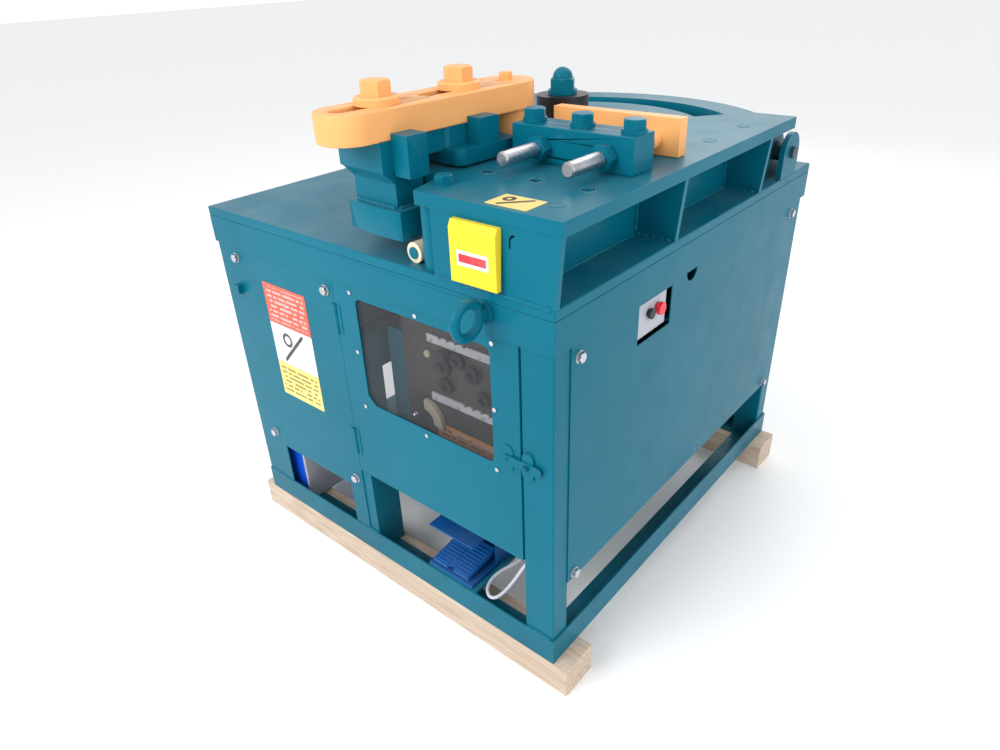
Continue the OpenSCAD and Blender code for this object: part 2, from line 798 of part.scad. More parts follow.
module drive_coupling() {
    color(steel) translate([motor_x, 104, motor_z]) rotate([-90, 0, 0]) cylinder(r = 24, h = 25);
}

module pump() {
    color(black) {
        translate([motor_x, 60, motor_z]) rotate([-90, 0, 0]) cylinder(r = 40, h = 43);
        block([motor_x - 30, 65, z_tray], [motor_x + 30, 80, motor_z - 20]);
    }
}

module valve_block() {
    color(steel) {
        block([left_x + 84, front_y + 250, z_tank], [left_x + 138, front_y + 320, z_tank + 50]);
        block([left_x + 88, front_y + 262, z_tank + 50], [left_x + 134, front_y + 308, z_tank + 90]);
    }
}

// Straight pipe between two points along one axis
module pipe(p, length, turn, r = 9) {
    translate(p) rotate(turn) cylinder(r = r, h = length, $fn = 24);
}

module hydraulic_pipes() {
    z = gear_z + 8 + rack_w / 2;
    from_z = z_tank + 90;
    color(black) for (k = [0, 1]) {
        x = left_x + 99 + 24 * k;
        y = front_y + 285;
        top = z + barrel_r + 70 - 30 * k;
        fy = barrel_y0 + (k == 0 ? 12 : barrel_l - 20);
        px = cyl_x + 24 * (k - 0.5);
        pipe([x, y, from_z], top - from_z, [0, 0, 0]);
        translate([x, y, top]) sphere(r = 10, $fn = 24);
        pipe([x, y, top], px - x, [0, 90, 0]);
        translate([px, y, top]) sphere(r = 10, $fn = 24);
        pipe([px, y, top], fy - y, [-90, 0, 0]);
        translate([px, fy, top]) sphere(r = 10, $fn = 24);
        port = z + barrel_r + 4 * k;
        pipe([px, fy, port], top - port, [0, 0, 0]);
    }
}

module control_box() {
    color(grey) block([left_x + 140, front_y + 26, z_foot], [left_x + 148, tank_y1, z_foot + 230]);
    // terminal box of the foot switch on the right front post, its gland pointing down
    color(grey) {
        block([right_x - post_in - 60, front_y + 62, z_post + 250], [right_x - post_in - 10, front_y + 130, z_post + 320]);
        translate([right_x - post_in - 35, front_y + 96, z_post + 230]) cylinder(r = 10, h = 20);
        block([right_x - post_in - 60, front_y + post_in + post_d, z_post + 255],
            [right_x - post_in - 10, front_y + 62, z_post + 315]);
    }
}

module gauge_plate() {
    color([0.3, 0.27, 0.27]) {
        block([window_x0 + 62, gauge_y, door_z0 + 60], [right_x - 90, gauge_y + 4, z_lid - 80]);
        block([window_x0 + 62, gauge_y + 4, z_lid - 84], [window_x0 + 102, gauge_y + 60, z_lid - 80]);
        block([window_x0 + 62, gauge_y + 56, z_lid - 80], [window_x0 + 102, gauge_y + 60, z_lid]);
        block([right_x - 130, gauge_y + 4, z_lid - 84], [right_x - 90, gauge_y + 60, z_lid - 80]);
        block([right_x - 130, gauge_y + 56, z_lid - 80], [right_x - 90, gauge_y + 60, z_lid]);
    }
}

module gauge_rails() {
    rail_l = right_x - 100 - rail_x0;
    color(steel) for (i = [0, 1]) translate([rail_x0, gauge_y - 4, rail_z[i]]) difference() {
        cube([rail_l, 4, 18]);
        for (k = [0:3]) translate([95 + k * 22 - 60 * i, -1, 18]) rotate([-90, 0, 0])
            cylinder(r = 7, h = 6, $fn = 3);
    }
}

// Crescent that hugs the zero disc
module gauge_slider() {
    color(pale) translate([zero[0], gauge_y - 2, zero[1]]) rotate([90, 0, 0]) linear_extrude(10) intersection() {
        difference() {
            circle(50);
            circle(26);
        }
        polygon([[0, 0], 80 * [cos(-10), sin(-10)], [80, 80], [0, 80]]);
    }
}

module limit_switches() {
    color(black) for (x = [rail_x0 + 200, rail_x0 + 40]) {
        z = x > rail_x0 + 100 ? rail_z[0] + 50 : rail_z[1] - 24;
        block([x, gauge_y - 24, z], [x + 24, gauge_y, z + 20]);
    }
    color(black) translate([zero[0], gauge_y - 10, zero[1]]) rotate([-90, 0, 0]) cylinder(r = 24, h = 10);
}

// Ribbed conduit running back from the window to a junction box behind the gauge board
module conduit() {
    color(black) {
        translate([window_x0 - 20, front_y + 29, door_z1 - 108]) rotate([0, 82, 75]) for (i = [0:9])
            translate([0, 0, i * 9]) {
                cylinder(r = 12, h = 6, $fn = 32);
                translate([0, 0, 6]) cylinder(r = 10, h = 3, $fn = 32);
            }
        block([window_x0 - 16, front_y + 114, door_z1 - 125], [window_x0 + 80, front_y + 144, door_z1 - 65]);
        block([window_x0 + 66, gauge_y + 4, door_z1 - 115], [window_x0 + 76, front_y + 114, door_z1 - 75]);
    }
}

module window_outline(grow) {
    w = window_w + 2 * grow;
    h = window_h + 2 * grow;
    translate([-grow, -grow]) difference() {
        rounded(w, h, 14);
        polygon([[-1, -1], [22, -1], [-1, 22]]);
    }
}

module window_door() {
    color(green) {
        difference() {
            block([door_x0, front_face, door_z0], [door_x1, front_face + sheet_t, door_z1]);
            translate([window_x0, front_face + sheet_t + 1, window_z0]) rotate([90, 0, 0])
                linear_extrude(sheet_t + 2) window_outline(0);
            for (p = screw_places()) translate([p[0], front_face - 1, p[1]]) rotate([-90, 0, 0])
                cylinder(r = 2.6, h = sheet_t + 2, $fn = 24);
            for (z = hinge_z) translate([hinge_x, front_face, z - 1]) cylinder(r = 6.5, h = hinge_len + 2);
        }
        // foot and pivot of the latch
        latch_foot(latch_x);
        translate([latch_x, front_face - 1, latch_z]) rotate([90, 0, 0]) cylinder(r = 3, h = 6, $fn = 24);
        // folded stiffening lip on the free side
        block([door_x1 - sheet_t, front_face + sheet_t, door_z0], [door_x1, front_face + sheet_t + 16, door_z1 - 10]);
        // moving hinge leaves and their barrels
        for (z = hinge_z) difference() {
            union() {
                block([hinge_x + 0.5, front_face - 1.2, z], [hinge_x + 16, front_face, z + hinge_len]);
                translate([hinge_x, front_face, z + 20.5]) cylinder(r = 5.5, h = hinge_len - 41);
            }
            translate([hinge_x, front_face, z - 1]) cylinder(r = 3 + run_fit, h = hinge_len + 2);
            for (dz = [-1, hinge_len - 20.5]) translate([hinge_x, front_face, z + dz]) cylinder(r = 6.5, h = 21.5);
        }
    }
}

// Window screws: x and z of each
function screw_places() = [for (i = [0:2], k = [0:2]) if (!(i == 1 && k == 1))
    [window_x0 - 13 + i * (window_w / 2 + 10), window_z0 - 12 + k * (window_h / 2 + 11)]];

module window_pane() {
    color([0.35, 0.35, 0.38, 0.4]) difference() {
        translate([window_x0, front_face + sheet_t + 4, window_z0]) rotate([90, 0, 0])
            linear_extrude(4) window_outline(22);
        for (p = screw_places()) translate([p[0], front_face, p[1]]) rotate([-90, 0, 0])
            cylinder(r = 2.6, h = 20, $fn = 24);
    }
}

module window_screws() {
    color(steel) for (p = screw_places()) translate([p[0], front_face, p[1]]) {
        rotate([-90, 0, 0]) cylinder(r = 2.5, h = sheet_t + 9, $fn = 24);
        rotate([90, 0, 0]) cylinder(r = 4.5, h = 2.2, $fn = 24);
    }
}

// Base plate of the latch, round at both ends, flat on the sheet
module latch_foot(x, t = 2) {
    translate([x, front_face, latch_z]) rotate([90, 0, 0]) linear_extrude(t) {
        translate([-13, -18]) square([26, 36]);
        for (y = [-18, 18]) translate([0, y]) circle(13);
    }
}

module door_latch() {
    color(green) translate([latch_x, front_face - 2, latch_z]) rotate([90, 0, 0]) linear_extrude(3) difference() {
        union() {
            translate([0, -10]) square([70, 20]);
            translate([70, 0]) circle(10);
            circle(10);
        }
        circle(3 + run_fit, $fn = 24);
        translate([stud_reach, 0]) circle(6.5, $fn = 24);
        translate([stud_reach - 6.5, -20]) square([13, 20]);
    }
}

module latch_staple() {
    color(green) difference() {
        union() {
            translate([0, post_in - panel_in, 0]) latch_foot(latch_x + stud_reach, 2 + post_in - panel_in);
            translate([latch_x + stud_reach, front_face - 2, latch_z]) rotate([90, 0, 0])
                cylinder(r = 4, h = 10, $fn = 24);
        }
        block([door_x1 - 60, front_face - 20, latch_z - 60], [door_x1 + door_gap, front_face + 20, latch_z + 60]);
    }
}

module rear_lugs() {
    color(green) for (x = [right_x - 50, right_x - 12]) translate([x, lug_y0, 0]) difference() {
        union() {
            translate([0, -lug_r, z_deck]) cube([12, 2 * lug_r, lug_z - z_deck]);
            translate([0, 0, lug_z]) rotate([0, 90, 0]) cylinder(r = lug_r, h = 12);
        }
        translate([-1, 0, lug_z]) rotate([0, 90, 0]) cylinder(d = 16 + 2 * run_fit, h = 14);
    }
}

module lug_roller() {
    color(steel) translate([right_x - 50, lug_y0, lug_z]) rotate([0, 90, 0]) {
        translate([0, 0, -4]) cylinder(d = 16, h = 55);
        translate([0, 0, 12.5]) cylinder(r = 22, h = 25);
        translate([0, 0, 50.5]) hex(24, 8);
    }
}

module centre_pin() {
    top = z_top + centre_h + air;
    color(green) translate([shaft_x, shaft_y, 0]) {
        translate([0, 0, z_table - 150]) cylinder(r = pin_r, h = top - z_table + 150);
        translate([0, 0, top]) cylinder(r = 32, h = 9);
        translate([0, 0, top + 9]) hex(50, 24);
        translate([0, 0, top + 33]) intersection() {
            sphere(r = 22);
            cylinder(r = 30, h = 30);
        }
    }
}

module centre_roller() {
    color(black) translate([shaft_x, shaft_y, z_top + air / 2]) difference() {
        cylinder(r = centre_r, h = centre_h, $fn = 96);
        translate([0, 0, -1]) cylinder(r = pin_r + run_fit, h = centre_h + 2);
    }
}

module lower_arm() {
    color(green) arm_frame() {
        difference() {
            union() {
                translate([0, 0, z_lower]) linear_extrude(lower_t) intersection() {
                    union() {
                        circle(r = 108, $fn = 96);
                        translate([0, -lower_w / 2]) square([arm_reach + 10, lower_w]);
                    }
                    circle(arm_reach, $fn = 96);
                }
                // column outside the table's round edge
                translate([0, column_w / 2 + column_side, 0]) rotate([90, 0, 0]) linear_extrude(column_w)
                    polygon([[column_in, z_lower_top], [column_in + column_t, z_lower_top],
                        [column_in + column_t, z_carrier - 24], [column_in + column_t + head_over - 2, z_carrier],
                        [column_in, z_carrier]]);
                // cheek of the support roller
                block([support_in - 9, lower_w / 2 - 1, z_deck + 6], [support_in - 1, support_t + 12, z_lower + 12]);
            }
            translate([0, 0, z_lower - 1]) cylinder(r = shaft_r, h = lower_t + 2);
        }
        // axle of the support roller with its end washer
        translate([support_in - 9, support_t, z_deck + lower_lift / 2]) rotate([0, 90, 0]) {
            cylinder(r = 8, h = support_l + 12, $fn = 32);
            translate([0, 0, support_l + 10]) cylinder(r = 11, h = 2, $fn = 32);
        }
    }
}

module support_roller() {
    color(pale) arm_frame() translate([support_in, support_t, z_deck + lower_lift / 2]) rotate([0, 90, 0])
        difference() {
            cylinder(r = support_r, h = support_l);
            translate([0, 0, -1]) cylinder(r = 8 + run_fit, h = support_l + 2, $fn = 32);
        }
}

module arm_carrier() {
    lug_y = bar_w / 2 + lug_gap;
    inner_x = bolt_reach[0] - 64;
    outer_x = column_in + column_t + head_over;
    color(green) arm_frame() difference() {
        union() {
            block([column_in, -bar_w / 2 - 8, z_carrier], [outer_x, lug_y, z_bar]);
            block([inner_x + 140, -50, z_carrier + 12], [column_in, 50, z_bar]);
            translate([inner_x, -60, z_top + 5]) linear_extrude(28) rounded(162, 60 + lug_y + 38, 18);
            translate([inner_x, -60, z_top + 33]) linear_extrude(z_bar - z_top - 33) rounded(162, 56 + lug_y, 18);
            block([column_in + 20, lug_y, z_carrier], [column_in + 65, lug_y + 42, z_bar + 12]);
            block([column_in + 20, column_w / 2, z_carrier - 8], [column_in + 65, lug_y + 42, z_carrier]);
            block([inner_x + 55, lug_y, z_top + 33], [inner_x + 102, lug_y + 34, z_bar + 12]);
            block([inner_x + 55, lug_y - 10, z_top + 33], [inner_x + 102, lug_y, z_bar]);
        }
        for (r = bolt_reach) translate([r, 0, z_carrier + 10]) cylinder(d = bar_bolt_d + 2 * thread_play, h = carrier_h);
    }
}

module arm_bolts() {
    color(orange) arm_frame() for (r = bolt_reach) translate([r, 0, z_bar_top]) {
        translate([0, 0, -bar_t - 38]) cylinder(d = bar_bolt_d, h = bar_t + 38);
        cylinder(r = bar_washer_r, h = bar_washer_t - 3);
        translate([0, 0, bar_washer_t - 3]) cylinder(r1 = bar_washer_r, r2 = bar_washer_r - 4, h = 3);
        translate([0, 0, bar_washer_t]) hex(50, 26);
    }
}

// Straight slot, both ends round, starting at the bolt's hole and running outwards
module bar_slot(r) {
    translate([r, -bar_slot_w / 2]) square([bar_slot_l - bar_slot_w, bar_slot_w]);
    translate([r, 0]) circle(d = bar_slot_w);
    translate([r + bar_slot_l - bar_slot_w, 0]) circle(d = bar_slot_w);
}

module arm_bar() {
    color(orange) arm_frame() translate([0, 0, z_bar]) linear_extrude(bar_t) difference() {
        union() {
            translate([roller_reach, -bar_w / 2]) square([bar_span, bar_w]);
            for (x = [roller_reach, roller_reach + bar_span]) translate([x, 0]) circle(bar_w / 2, $fn = 96);
        }
        for (r = bolt_reach) bar_slot(r);
        for (r = bolt_reach) translate([r - 49, 0]) circle(r = 4, $fn = 24);
        translate([roller_reach, 0]) circle(r = 8);
    }
}

module roller_pin() {
    bottom = z_top + 3;
    color(orange) arm_frame() translate([roller_reach, 0, 0]) {
        translate([0, 0, bottom]) cylinder(r = 32, h = 5);
        translate([0, 0, bottom + 5]) cylinder(r = 20, h = z_bar - bottom - 5);
        translate([0, 0, z_bar]) cylinder(r = 8, h = bar_t);
        translate([0, 0, z_bar_top]) hex(24, 14);
    }
}

module bending_roller() {
    color(orange) arm_frame() translate([roller_reach, 0, z_top + 9]) difference() {
        cylinder(r = bend_r, h = z_bar - z_top - 10, $fn = 96);
        translate([0, 0, -1]) cylinder(r = 20 + run_fit, h = 100);
    }
}

module foot_switch_base() {
    x0 = pedal_x - 13;
    w = pedal_w + 26;
    hood = 110;
    color(blue) {
        block([x0, front_y + 6, foot_z], [x0 + w, front_y + 175, foot_z + 8]);
        // cheeks, hood and back wall
        for (x = [x0, x0 + w - 4]) block([x, front_y + 94, foot_z + 8], [x + 4, front_y + 175, foot_z + hood]);
        block([x0, front_y + 17, foot_z + hood], [x0 + w, front_y + 175, foot_z + hood + 4]);
        block([x0 + 4, front_y + 130, foot_z + 8], [x0 + w - 4, front_y + 175, foot_z + 60]);
        // pedal pin, and the gland at the back of the switch
        translate([x0 + 2, front_y + 8 + pedal_d, foot_z + 33]) rotate([0, 90, 0]) cylinder(r = 4, h = w - 4);
        translate([x0 + w, front_y + 150, foot_z + 30]) rotate([0, 90, 0]) cylinder(r = 8, h = 16);
    }
}

module foot_pedal() {
    color(blue) translate([pedal_x, front_y + 8, foot_z + 10]) difference() {
        union() {
            rotate([90, 0, 90]) linear_extrude(pedal_w)
                polygon([[0, 6], [0, 14], [pedal_d, 30], [pedal_d, 16]]);
            translate([0, pedal_d, 23]) rotate([0, 90, 0]) cylinder(r = 8, h = pedal_w);
        }
        translate([pedal_w / 2, -1, 0]) cylinder(r = 10, h = 40, $fn = 32);
        translate([-1, pedal_d, 23]) rotate([0, 90, 0]) cylinder(r = 4 + run_fit, h = pedal_w + 2);
    }
}

// Route of the foot switch cable: out of the switch, forwards in a loop that lies over the front angle,
// then up behind the door into the terminal box
cable_r = 4;
cable_route = [[284, -400, 175], [296, -400, 176], [308, -406, 176], [315, -420, 174], [312, -440, 170],
    [302, -460, 165], [294, -480, 160], [291, -500, 155], [296, -520, 151], [307, -533, 149], [320, -538, 149],
    [332, -532, 152], [341, -517, 161], [348, -502, 175], [356, -491, 193], [366, -480, 218], [384, -470, 255],
    [410, -462, 295], [435, -456, 330], [453, -454, 352], [459, -454, 370]];

// Ring of the cable around point i of the route, square to the run there
function cable_ring(i) = let (
    n = len(cable_route),
    a = cable_route[max(0, i - 1)], b = cable_route[min(n - 1, i + 1)],
    d = (i == 0) ? [1, 0, 0] : (i == n - 1) ? [0, 0, 1] : (b - a) / norm(b - a),
    s0 = cross(d, [1, 1, -1]), s = s0 / norm(s0), u = cross(s, d))
    [for (k = [0:7]) cable_route[i] + cable_r * (s * cos(k * 45) + u * sin(k * 45))];

module foot_cable() {
    n = len(cable_route);
    points = [for (i = [0:n - 1]) each cable_ring(i)];
    sides = [for (i = [0:n - 2], k = [0:7]) let (j = (k + 1) % 8)
        [i * 8 + k, i * 8 + j, (i + 1) * 8 + j, (i + 1) * 8 + k]];
    color(grey) polyhedron(points, concat([[7, 6, 5, 4, 3, 2, 1, 0]], sides, [[for (k = [0:7]) (n - 1) * 8 + k]]));
}

base_frame();
corner_posts();
rim_frame();
lid_plate();
table_plate();
table_supports();
front_panel();
right_panel();
left_panel();
rear_panel();
panel_bolts();
lifting_eyes();
skids();
switch_plate();
start_button();
stop_button();
return_switch();
return_flap();
reaction_block();
block_bolts();
receiving_plate();
adjusting_studs();
lock_nuts();
drive_bed();
bearing_housing();
main_shaft();
pinion_gear();
lower_arm();
arm_carrier();
arm_bolts();
arm_bar();
roller_pin();
bending_roller();
centre_pin();
centre_roller();
support_roller();
drive_rack();
cylinder_barrel();
oil_tank();
motor();
pump();
drive_coupling();
valve_block();
hydraulic_pipes();
control_box();
gauge_plate();
gauge_rails();
gauge_slider();
limit_switches();
conduit();
window_door();
window_pane();
window_screws();
door_latch();
latch_staple();
rear_lugs();
lug_roller();
foot_switch_base();
foot_pedal();
foot_cable();
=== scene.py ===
"""Looks of a stationary reinforcing-bar bender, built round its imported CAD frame.

The CAD nodes keep their shapes and places and get enamel, steel, timber and plastic finishes. Thin pieces
that the CAD leaves out, such as weld beads, label plates, pedal ribs and cam wheels, are surfaces worked
out with numpy. All lengths are in metres, in the frame of the CAD model.
"""

import json
import logging
import math
from dataclasses import dataclass, field
from enum import Enum

import bpy
import numpy as np
from mathutils import Matrix, Vector


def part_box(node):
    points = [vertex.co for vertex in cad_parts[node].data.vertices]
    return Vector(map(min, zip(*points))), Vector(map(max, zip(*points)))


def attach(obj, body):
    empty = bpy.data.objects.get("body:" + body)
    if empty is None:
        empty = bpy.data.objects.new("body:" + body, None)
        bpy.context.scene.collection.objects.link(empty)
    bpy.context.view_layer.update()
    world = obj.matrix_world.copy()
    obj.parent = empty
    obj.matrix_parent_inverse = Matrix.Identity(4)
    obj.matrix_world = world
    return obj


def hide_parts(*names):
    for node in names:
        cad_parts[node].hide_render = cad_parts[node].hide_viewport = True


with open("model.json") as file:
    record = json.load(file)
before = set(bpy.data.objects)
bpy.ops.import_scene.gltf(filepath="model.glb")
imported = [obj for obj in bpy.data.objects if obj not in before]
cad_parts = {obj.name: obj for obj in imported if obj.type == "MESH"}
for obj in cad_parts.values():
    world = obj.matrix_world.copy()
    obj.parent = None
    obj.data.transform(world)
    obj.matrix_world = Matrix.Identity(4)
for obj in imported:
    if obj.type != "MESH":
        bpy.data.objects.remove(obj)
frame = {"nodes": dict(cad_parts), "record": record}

log = logging.getLogger("bender")

Colour = tuple[float, float, float]
Point = tuple[float, float, float]
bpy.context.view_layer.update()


class Slot(str, Enum):
    """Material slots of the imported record."""

    GREEN = "green_paint"
    ZINC = "bolt_zinc"
    STEEL = "steel"
    ORANGE = "orange_paint"
    ROLLER = "black_roller"
    BLACK = "black_plastic"
    HOSE = "hose_rubber"
    RED = "red_plastic"
    YELLOW = "yellow_paint"
    TIMBER = "timber"
    GREY = "grey_box"
    BLUE = "blue_paint"
    BOARD = "dark_board"
    CREAM = "cream_plastic"
    PANE = "smoked_pane"
    CABLE = "grey_cable"


# ---------------------------------------------------------------- surfaces


def shell(name: str, rings: np.ndarray, cap: bool = True, smooth: bool = True) -> bpy.types.Object:
    """Closed skin over a stack of rings.

    Point (i, k) of the grid is joined to its neighbours (i + 1, k) and (i, k + 1), with k taken round the
    ring, and a fan from each end ring's mean closes the ends.

    Args:
        name: name of the new object.
        rings: array (rings, points round a ring, 3), rings turning anticlockwise seen from the last ring.
        cap: close both ends with a fan.
        smooth: shade the skin smooth, with edges over 40 degrees kept sharp.

    Returns:
        The new object, at the origin.
    """
    count, around = rings.shape[:2]
    i, k = np.meshgrid(np.arange(count - 1), np.arange(around), indexing="ij")
    j = (k + 1) % around
    quads = np.stack([i * around + k, i * around + j, (i + 1) * around + j, (i + 1) * around + k], -1)
    points = rings.reshape(-1, 3)
    faces = quads.reshape(-1, 4).tolist()
    if cap:
        points = np.vstack([points, rings[0].mean(0), rings[-1].mean(0)])
        low, high = count * around, count * around + 1
        ring = np.arange(around)
        after = (ring + 1) % around
        top = (count - 1) * around
        faces += np.stack([after, ring, np.full(around, low)], -1).tolist()
        faces += np.stack([top + ring, top + after, np.full(around, high)], -1).tolist()
    mesh = bpy.data.meshes.new(name)
    mesh.from_pydata(points.tolist(), [], faces)
    if smooth:
        mesh.shade_smooth()
        mesh.set_sharp_from_angle(angle=math.radians(40))
    mesh.update()
    thing = bpy.data.objects.new(name, mesh)
    bpy.context.scene.collection.objects.link(thing)
    return thing


def unit(v: np.ndarray) -> np.ndarray:
    """Vectors along the last axis scaled to length one."""
    return v / np.linalg.norm(v, axis=-1, keepdims=True)


def rounded_outline(width: float, height: float, corner: float, steps: int = 6) -> np.ndarray:
    """Rounded rectangle, anticlockwise: a quarter circle about each corner's own centre.

    Args:
        width: size along the first axis.
        height: size along the second axis.
        corner: radius of the corners.
        steps: points in each quarter circle.

    Returns:
        Array (4 * steps, 2) centred on the origin.
    """
    turn = np.linspace(0, np.pi / 2, steps)[None, :] + np.arange(4)[:, None] * np.pi / 2
    sx = np.array([1, -1, -1, 1])[:, None] * (width / 2 - corner)
    sy = np.array([1, 1, -1, -1])[:, None] * (height / 2 - corner)
    return np.stack([sx + corner * np.cos(turn), sy + corner * np.sin(turn)], -1).reshape(-1, 2)


def stamped(name: str, centre: Point, right: Point, up: Point, outline: np.ndarray, thick: float,
            edge: float = 0.0) -> bpy.types.Object:
    """Flat plate standing on a face, its outline carried along the profile side, rounded edge, top.

    Args:
        name: name of the new object.
        centre: middle of the plate's back.
        right: direction of the outline's first axis.
        up: direction of the outline's second axis.
        outline: closed outline (n, 2), anticlockwise.
        thick: thickness of the plate, along right x up.
        edge: radius of the front edge.

    Returns:
        The plate.
    """
    r, u = unit(np.array(right, float)), unit(np.array(up, float))
    n = np.cross(r, u)
    turn = np.linspace(0, np.pi / 2, 5) if edge > 0 else np.zeros(1)
    inset = np.concatenate([[0.0], edge * (1 - np.cos(turn))])
    height = np.concatenate([[0.0], thick - edge + edge * np.sin(turn)])
    if edge == 0:
        inset, height = np.zeros(2), np.array([0.0, thick])
    half = np.abs(outline).max(0)
    scale = 1 - inset[:, None] / half[None, :]
    flat = outline[None] * scale[:, None, :]
    rings = np.array(centre) + flat[..., :1] * r + flat[..., 1:] * u + height[:, None, None] * n
    return shell(name, rings)


def spline(points: np.ndarray, between: int) -> np.ndarray:
    """Curve through the points: on each span the cubic whose end slopes are half the chord of the
    neighbours on either side.

    Args:
        points: array (n, 3).
        between: samples on each span.

    Returns:
        Array ((n - 1) * between + 1, 3).
    """
    ends = np.vstack([2 * points[0] - points[1], points, 2 * points[-1] - points[-2]])
    a, b, c, d = ends[:-3], ends[1:-2], ends[2:-1], ends[3:]
    t = (np.arange(between) / between)[None, :, None]
    a, b, c, d = (p[:, None, :] for p in (a, b, c, d))
    curve = 0.5 * (2 * b + (c - a) * t + (2 * a - 5 * b + 4 * c - d) * t**2 + (3 * b - a - 3 * c + d) * t**3)
    return np.vstack([curve.reshape(-1, 3), points[-1]])


def tube(name: str, path: np.ndarray, radius: np.ndarray | float, beside: Point, around: int = 16,
         smooth: bool = True) -> bpy.types.Object:
    """Round tube: at each point of the path a circle square to the run there.

    Args:
        name: name of the new object.
        path: centreline (n, 3).
        radius: one radius, or one for each point.
        beside: direction that the path is never parallel to; it sets where each circle starts.
        around: points round the tube.
        smooth: shade it smooth.

    Returns:
        The tube.
    """
    along = unit(np.gradient(path, axis=0))
    side = unit(np.cross(along, np.array(beside, float)))
    over = np.cross(along, side)
    turn = np.arange(around) * 2 * np.pi / around
    size = np.broadcast_to(np.asarray(radius, float), len(path))[:, None, None]
    circle = side[:, None] * np.cos(turn)[None, :, None] + over[:, None] * np.sin(turn)[None, :, None]
    return shell(name, path[:, None] + size * circle, smooth=smooth)


def turned(name: str, centre: Point, axis: Point, profile: list[tuple[float, float]],
           around: int = 40, teeth: int = 0, depth: float = 0.0) -> bpy.types.Object:
    """Turned piece: the profile (distance along the axis, radius) carried round the axis, its radius
    lowered by depth in a wave of the given number of teeth.

    Args:
        name: name of the new object.
        centre: point on the axis where the profile starts.
        axis: direction of the axis.
        profile: rows of (distance along, radius).
        around: points round the piece.
        teeth: waves round the rim.
        depth: depth of the waves.

    Returns:
        The piece.
    """
    a = unit(np.array(axis, float))
    side = unit(np.cross(a, [0.3, 0.2, 0.9] if abs(a[2]) < 0.9 else [1.0, 0, 0]))
    over = np.cross(a, side)
    rows = np.array(profile)
    turn = np.arange(around) * 2 * np.pi / around
    wave = depth * (0.5 - 0.5 * np.cos(turn * teeth)) if teeth else np.zeros(around)
    radius = rows[:, 1, None] - wave[None, :] * (rows[:, 1, None] > 2 * depth)
    circle = side * np.cos(turn)[:, None] + over * np.sin(turn)[:, None]
    rings = np.array(centre) + rows[:, 0, None, None] * a + radius[..., None] * circle[None]
    return shell(name, rings)


def turned_ring(name: str, centre: Point, inner: float, outer: float, thick: float,
                around: int = 48) -> bpy.types.Object:
    """Flat washer: a rectangle from the inner to the outer radius carried once round a vertical axis.

    Args:
        name: name of the new object.
        centre: centre of the washer's underside.
        inner: radius of the hole.
        outer: radius of the rim.
        thick: thickness.
        around: points round it.

    Returns:
        The washer.
    """
    turn = np.arange(around) * 2 * np.pi / around
    rows = np.array([(0, inner), (0, outer), (thick, outer), (thick, inner)])
    ring = np.stack([rows[None, :, 1] * np.cos(turn)[:, None], rows[None, :, 1] * np.sin(turn)[:, None],
                     rows[None, :, 0] + 0 * turn[:, None]], -1) + np.array(centre)
    return shell(name, np.concatenate([ring, ring[:1]]), cap=False)


def bead(name: str, start: Point, end: Point, size: float, seed: int) -> bpy.types.Object:
    """Weld bead: a tube whose radius swells with each drop of metal and wanders a little.

    Args:
        name: name of the new object.
        start: one end.
        end: other end.
        size: mean radius.
        seed: chooses how the bead wanders.

    Returns:
        The bead.
    """
    a, b = np.array(start, float), np.array(end, float)
    length = np.linalg.norm(b - a)
    count = max(12, int(length / (size * 0.45)))
    s = np.linspace(0, 1, count)
    drops = np.abs(np.sin(s * length / size * 0.8 + 0.4 * np.sin(s * 19 + seed)))
    ends = np.minimum(1, np.minimum(s, 1 - s) * length / size + 0.15)
    radius = size * (0.82 + 0.22 * drops) * ends
    along = (b - a) / length
    beside = np.array([0.31, 0.42, 0.85]) if abs(along[2]) < 0.8 else np.array([0.9, 0.3, 0.1])
    sway = unit(np.cross(along, beside)) * size * 0.15
    path = a + s[:, None] * (b - a) + np.sin(s * 31 + seed * 2.1)[:, None] * sway
    return tube(name, path, radius, tuple(beside), 10)


# ---------------------------------------------------------------- finishes


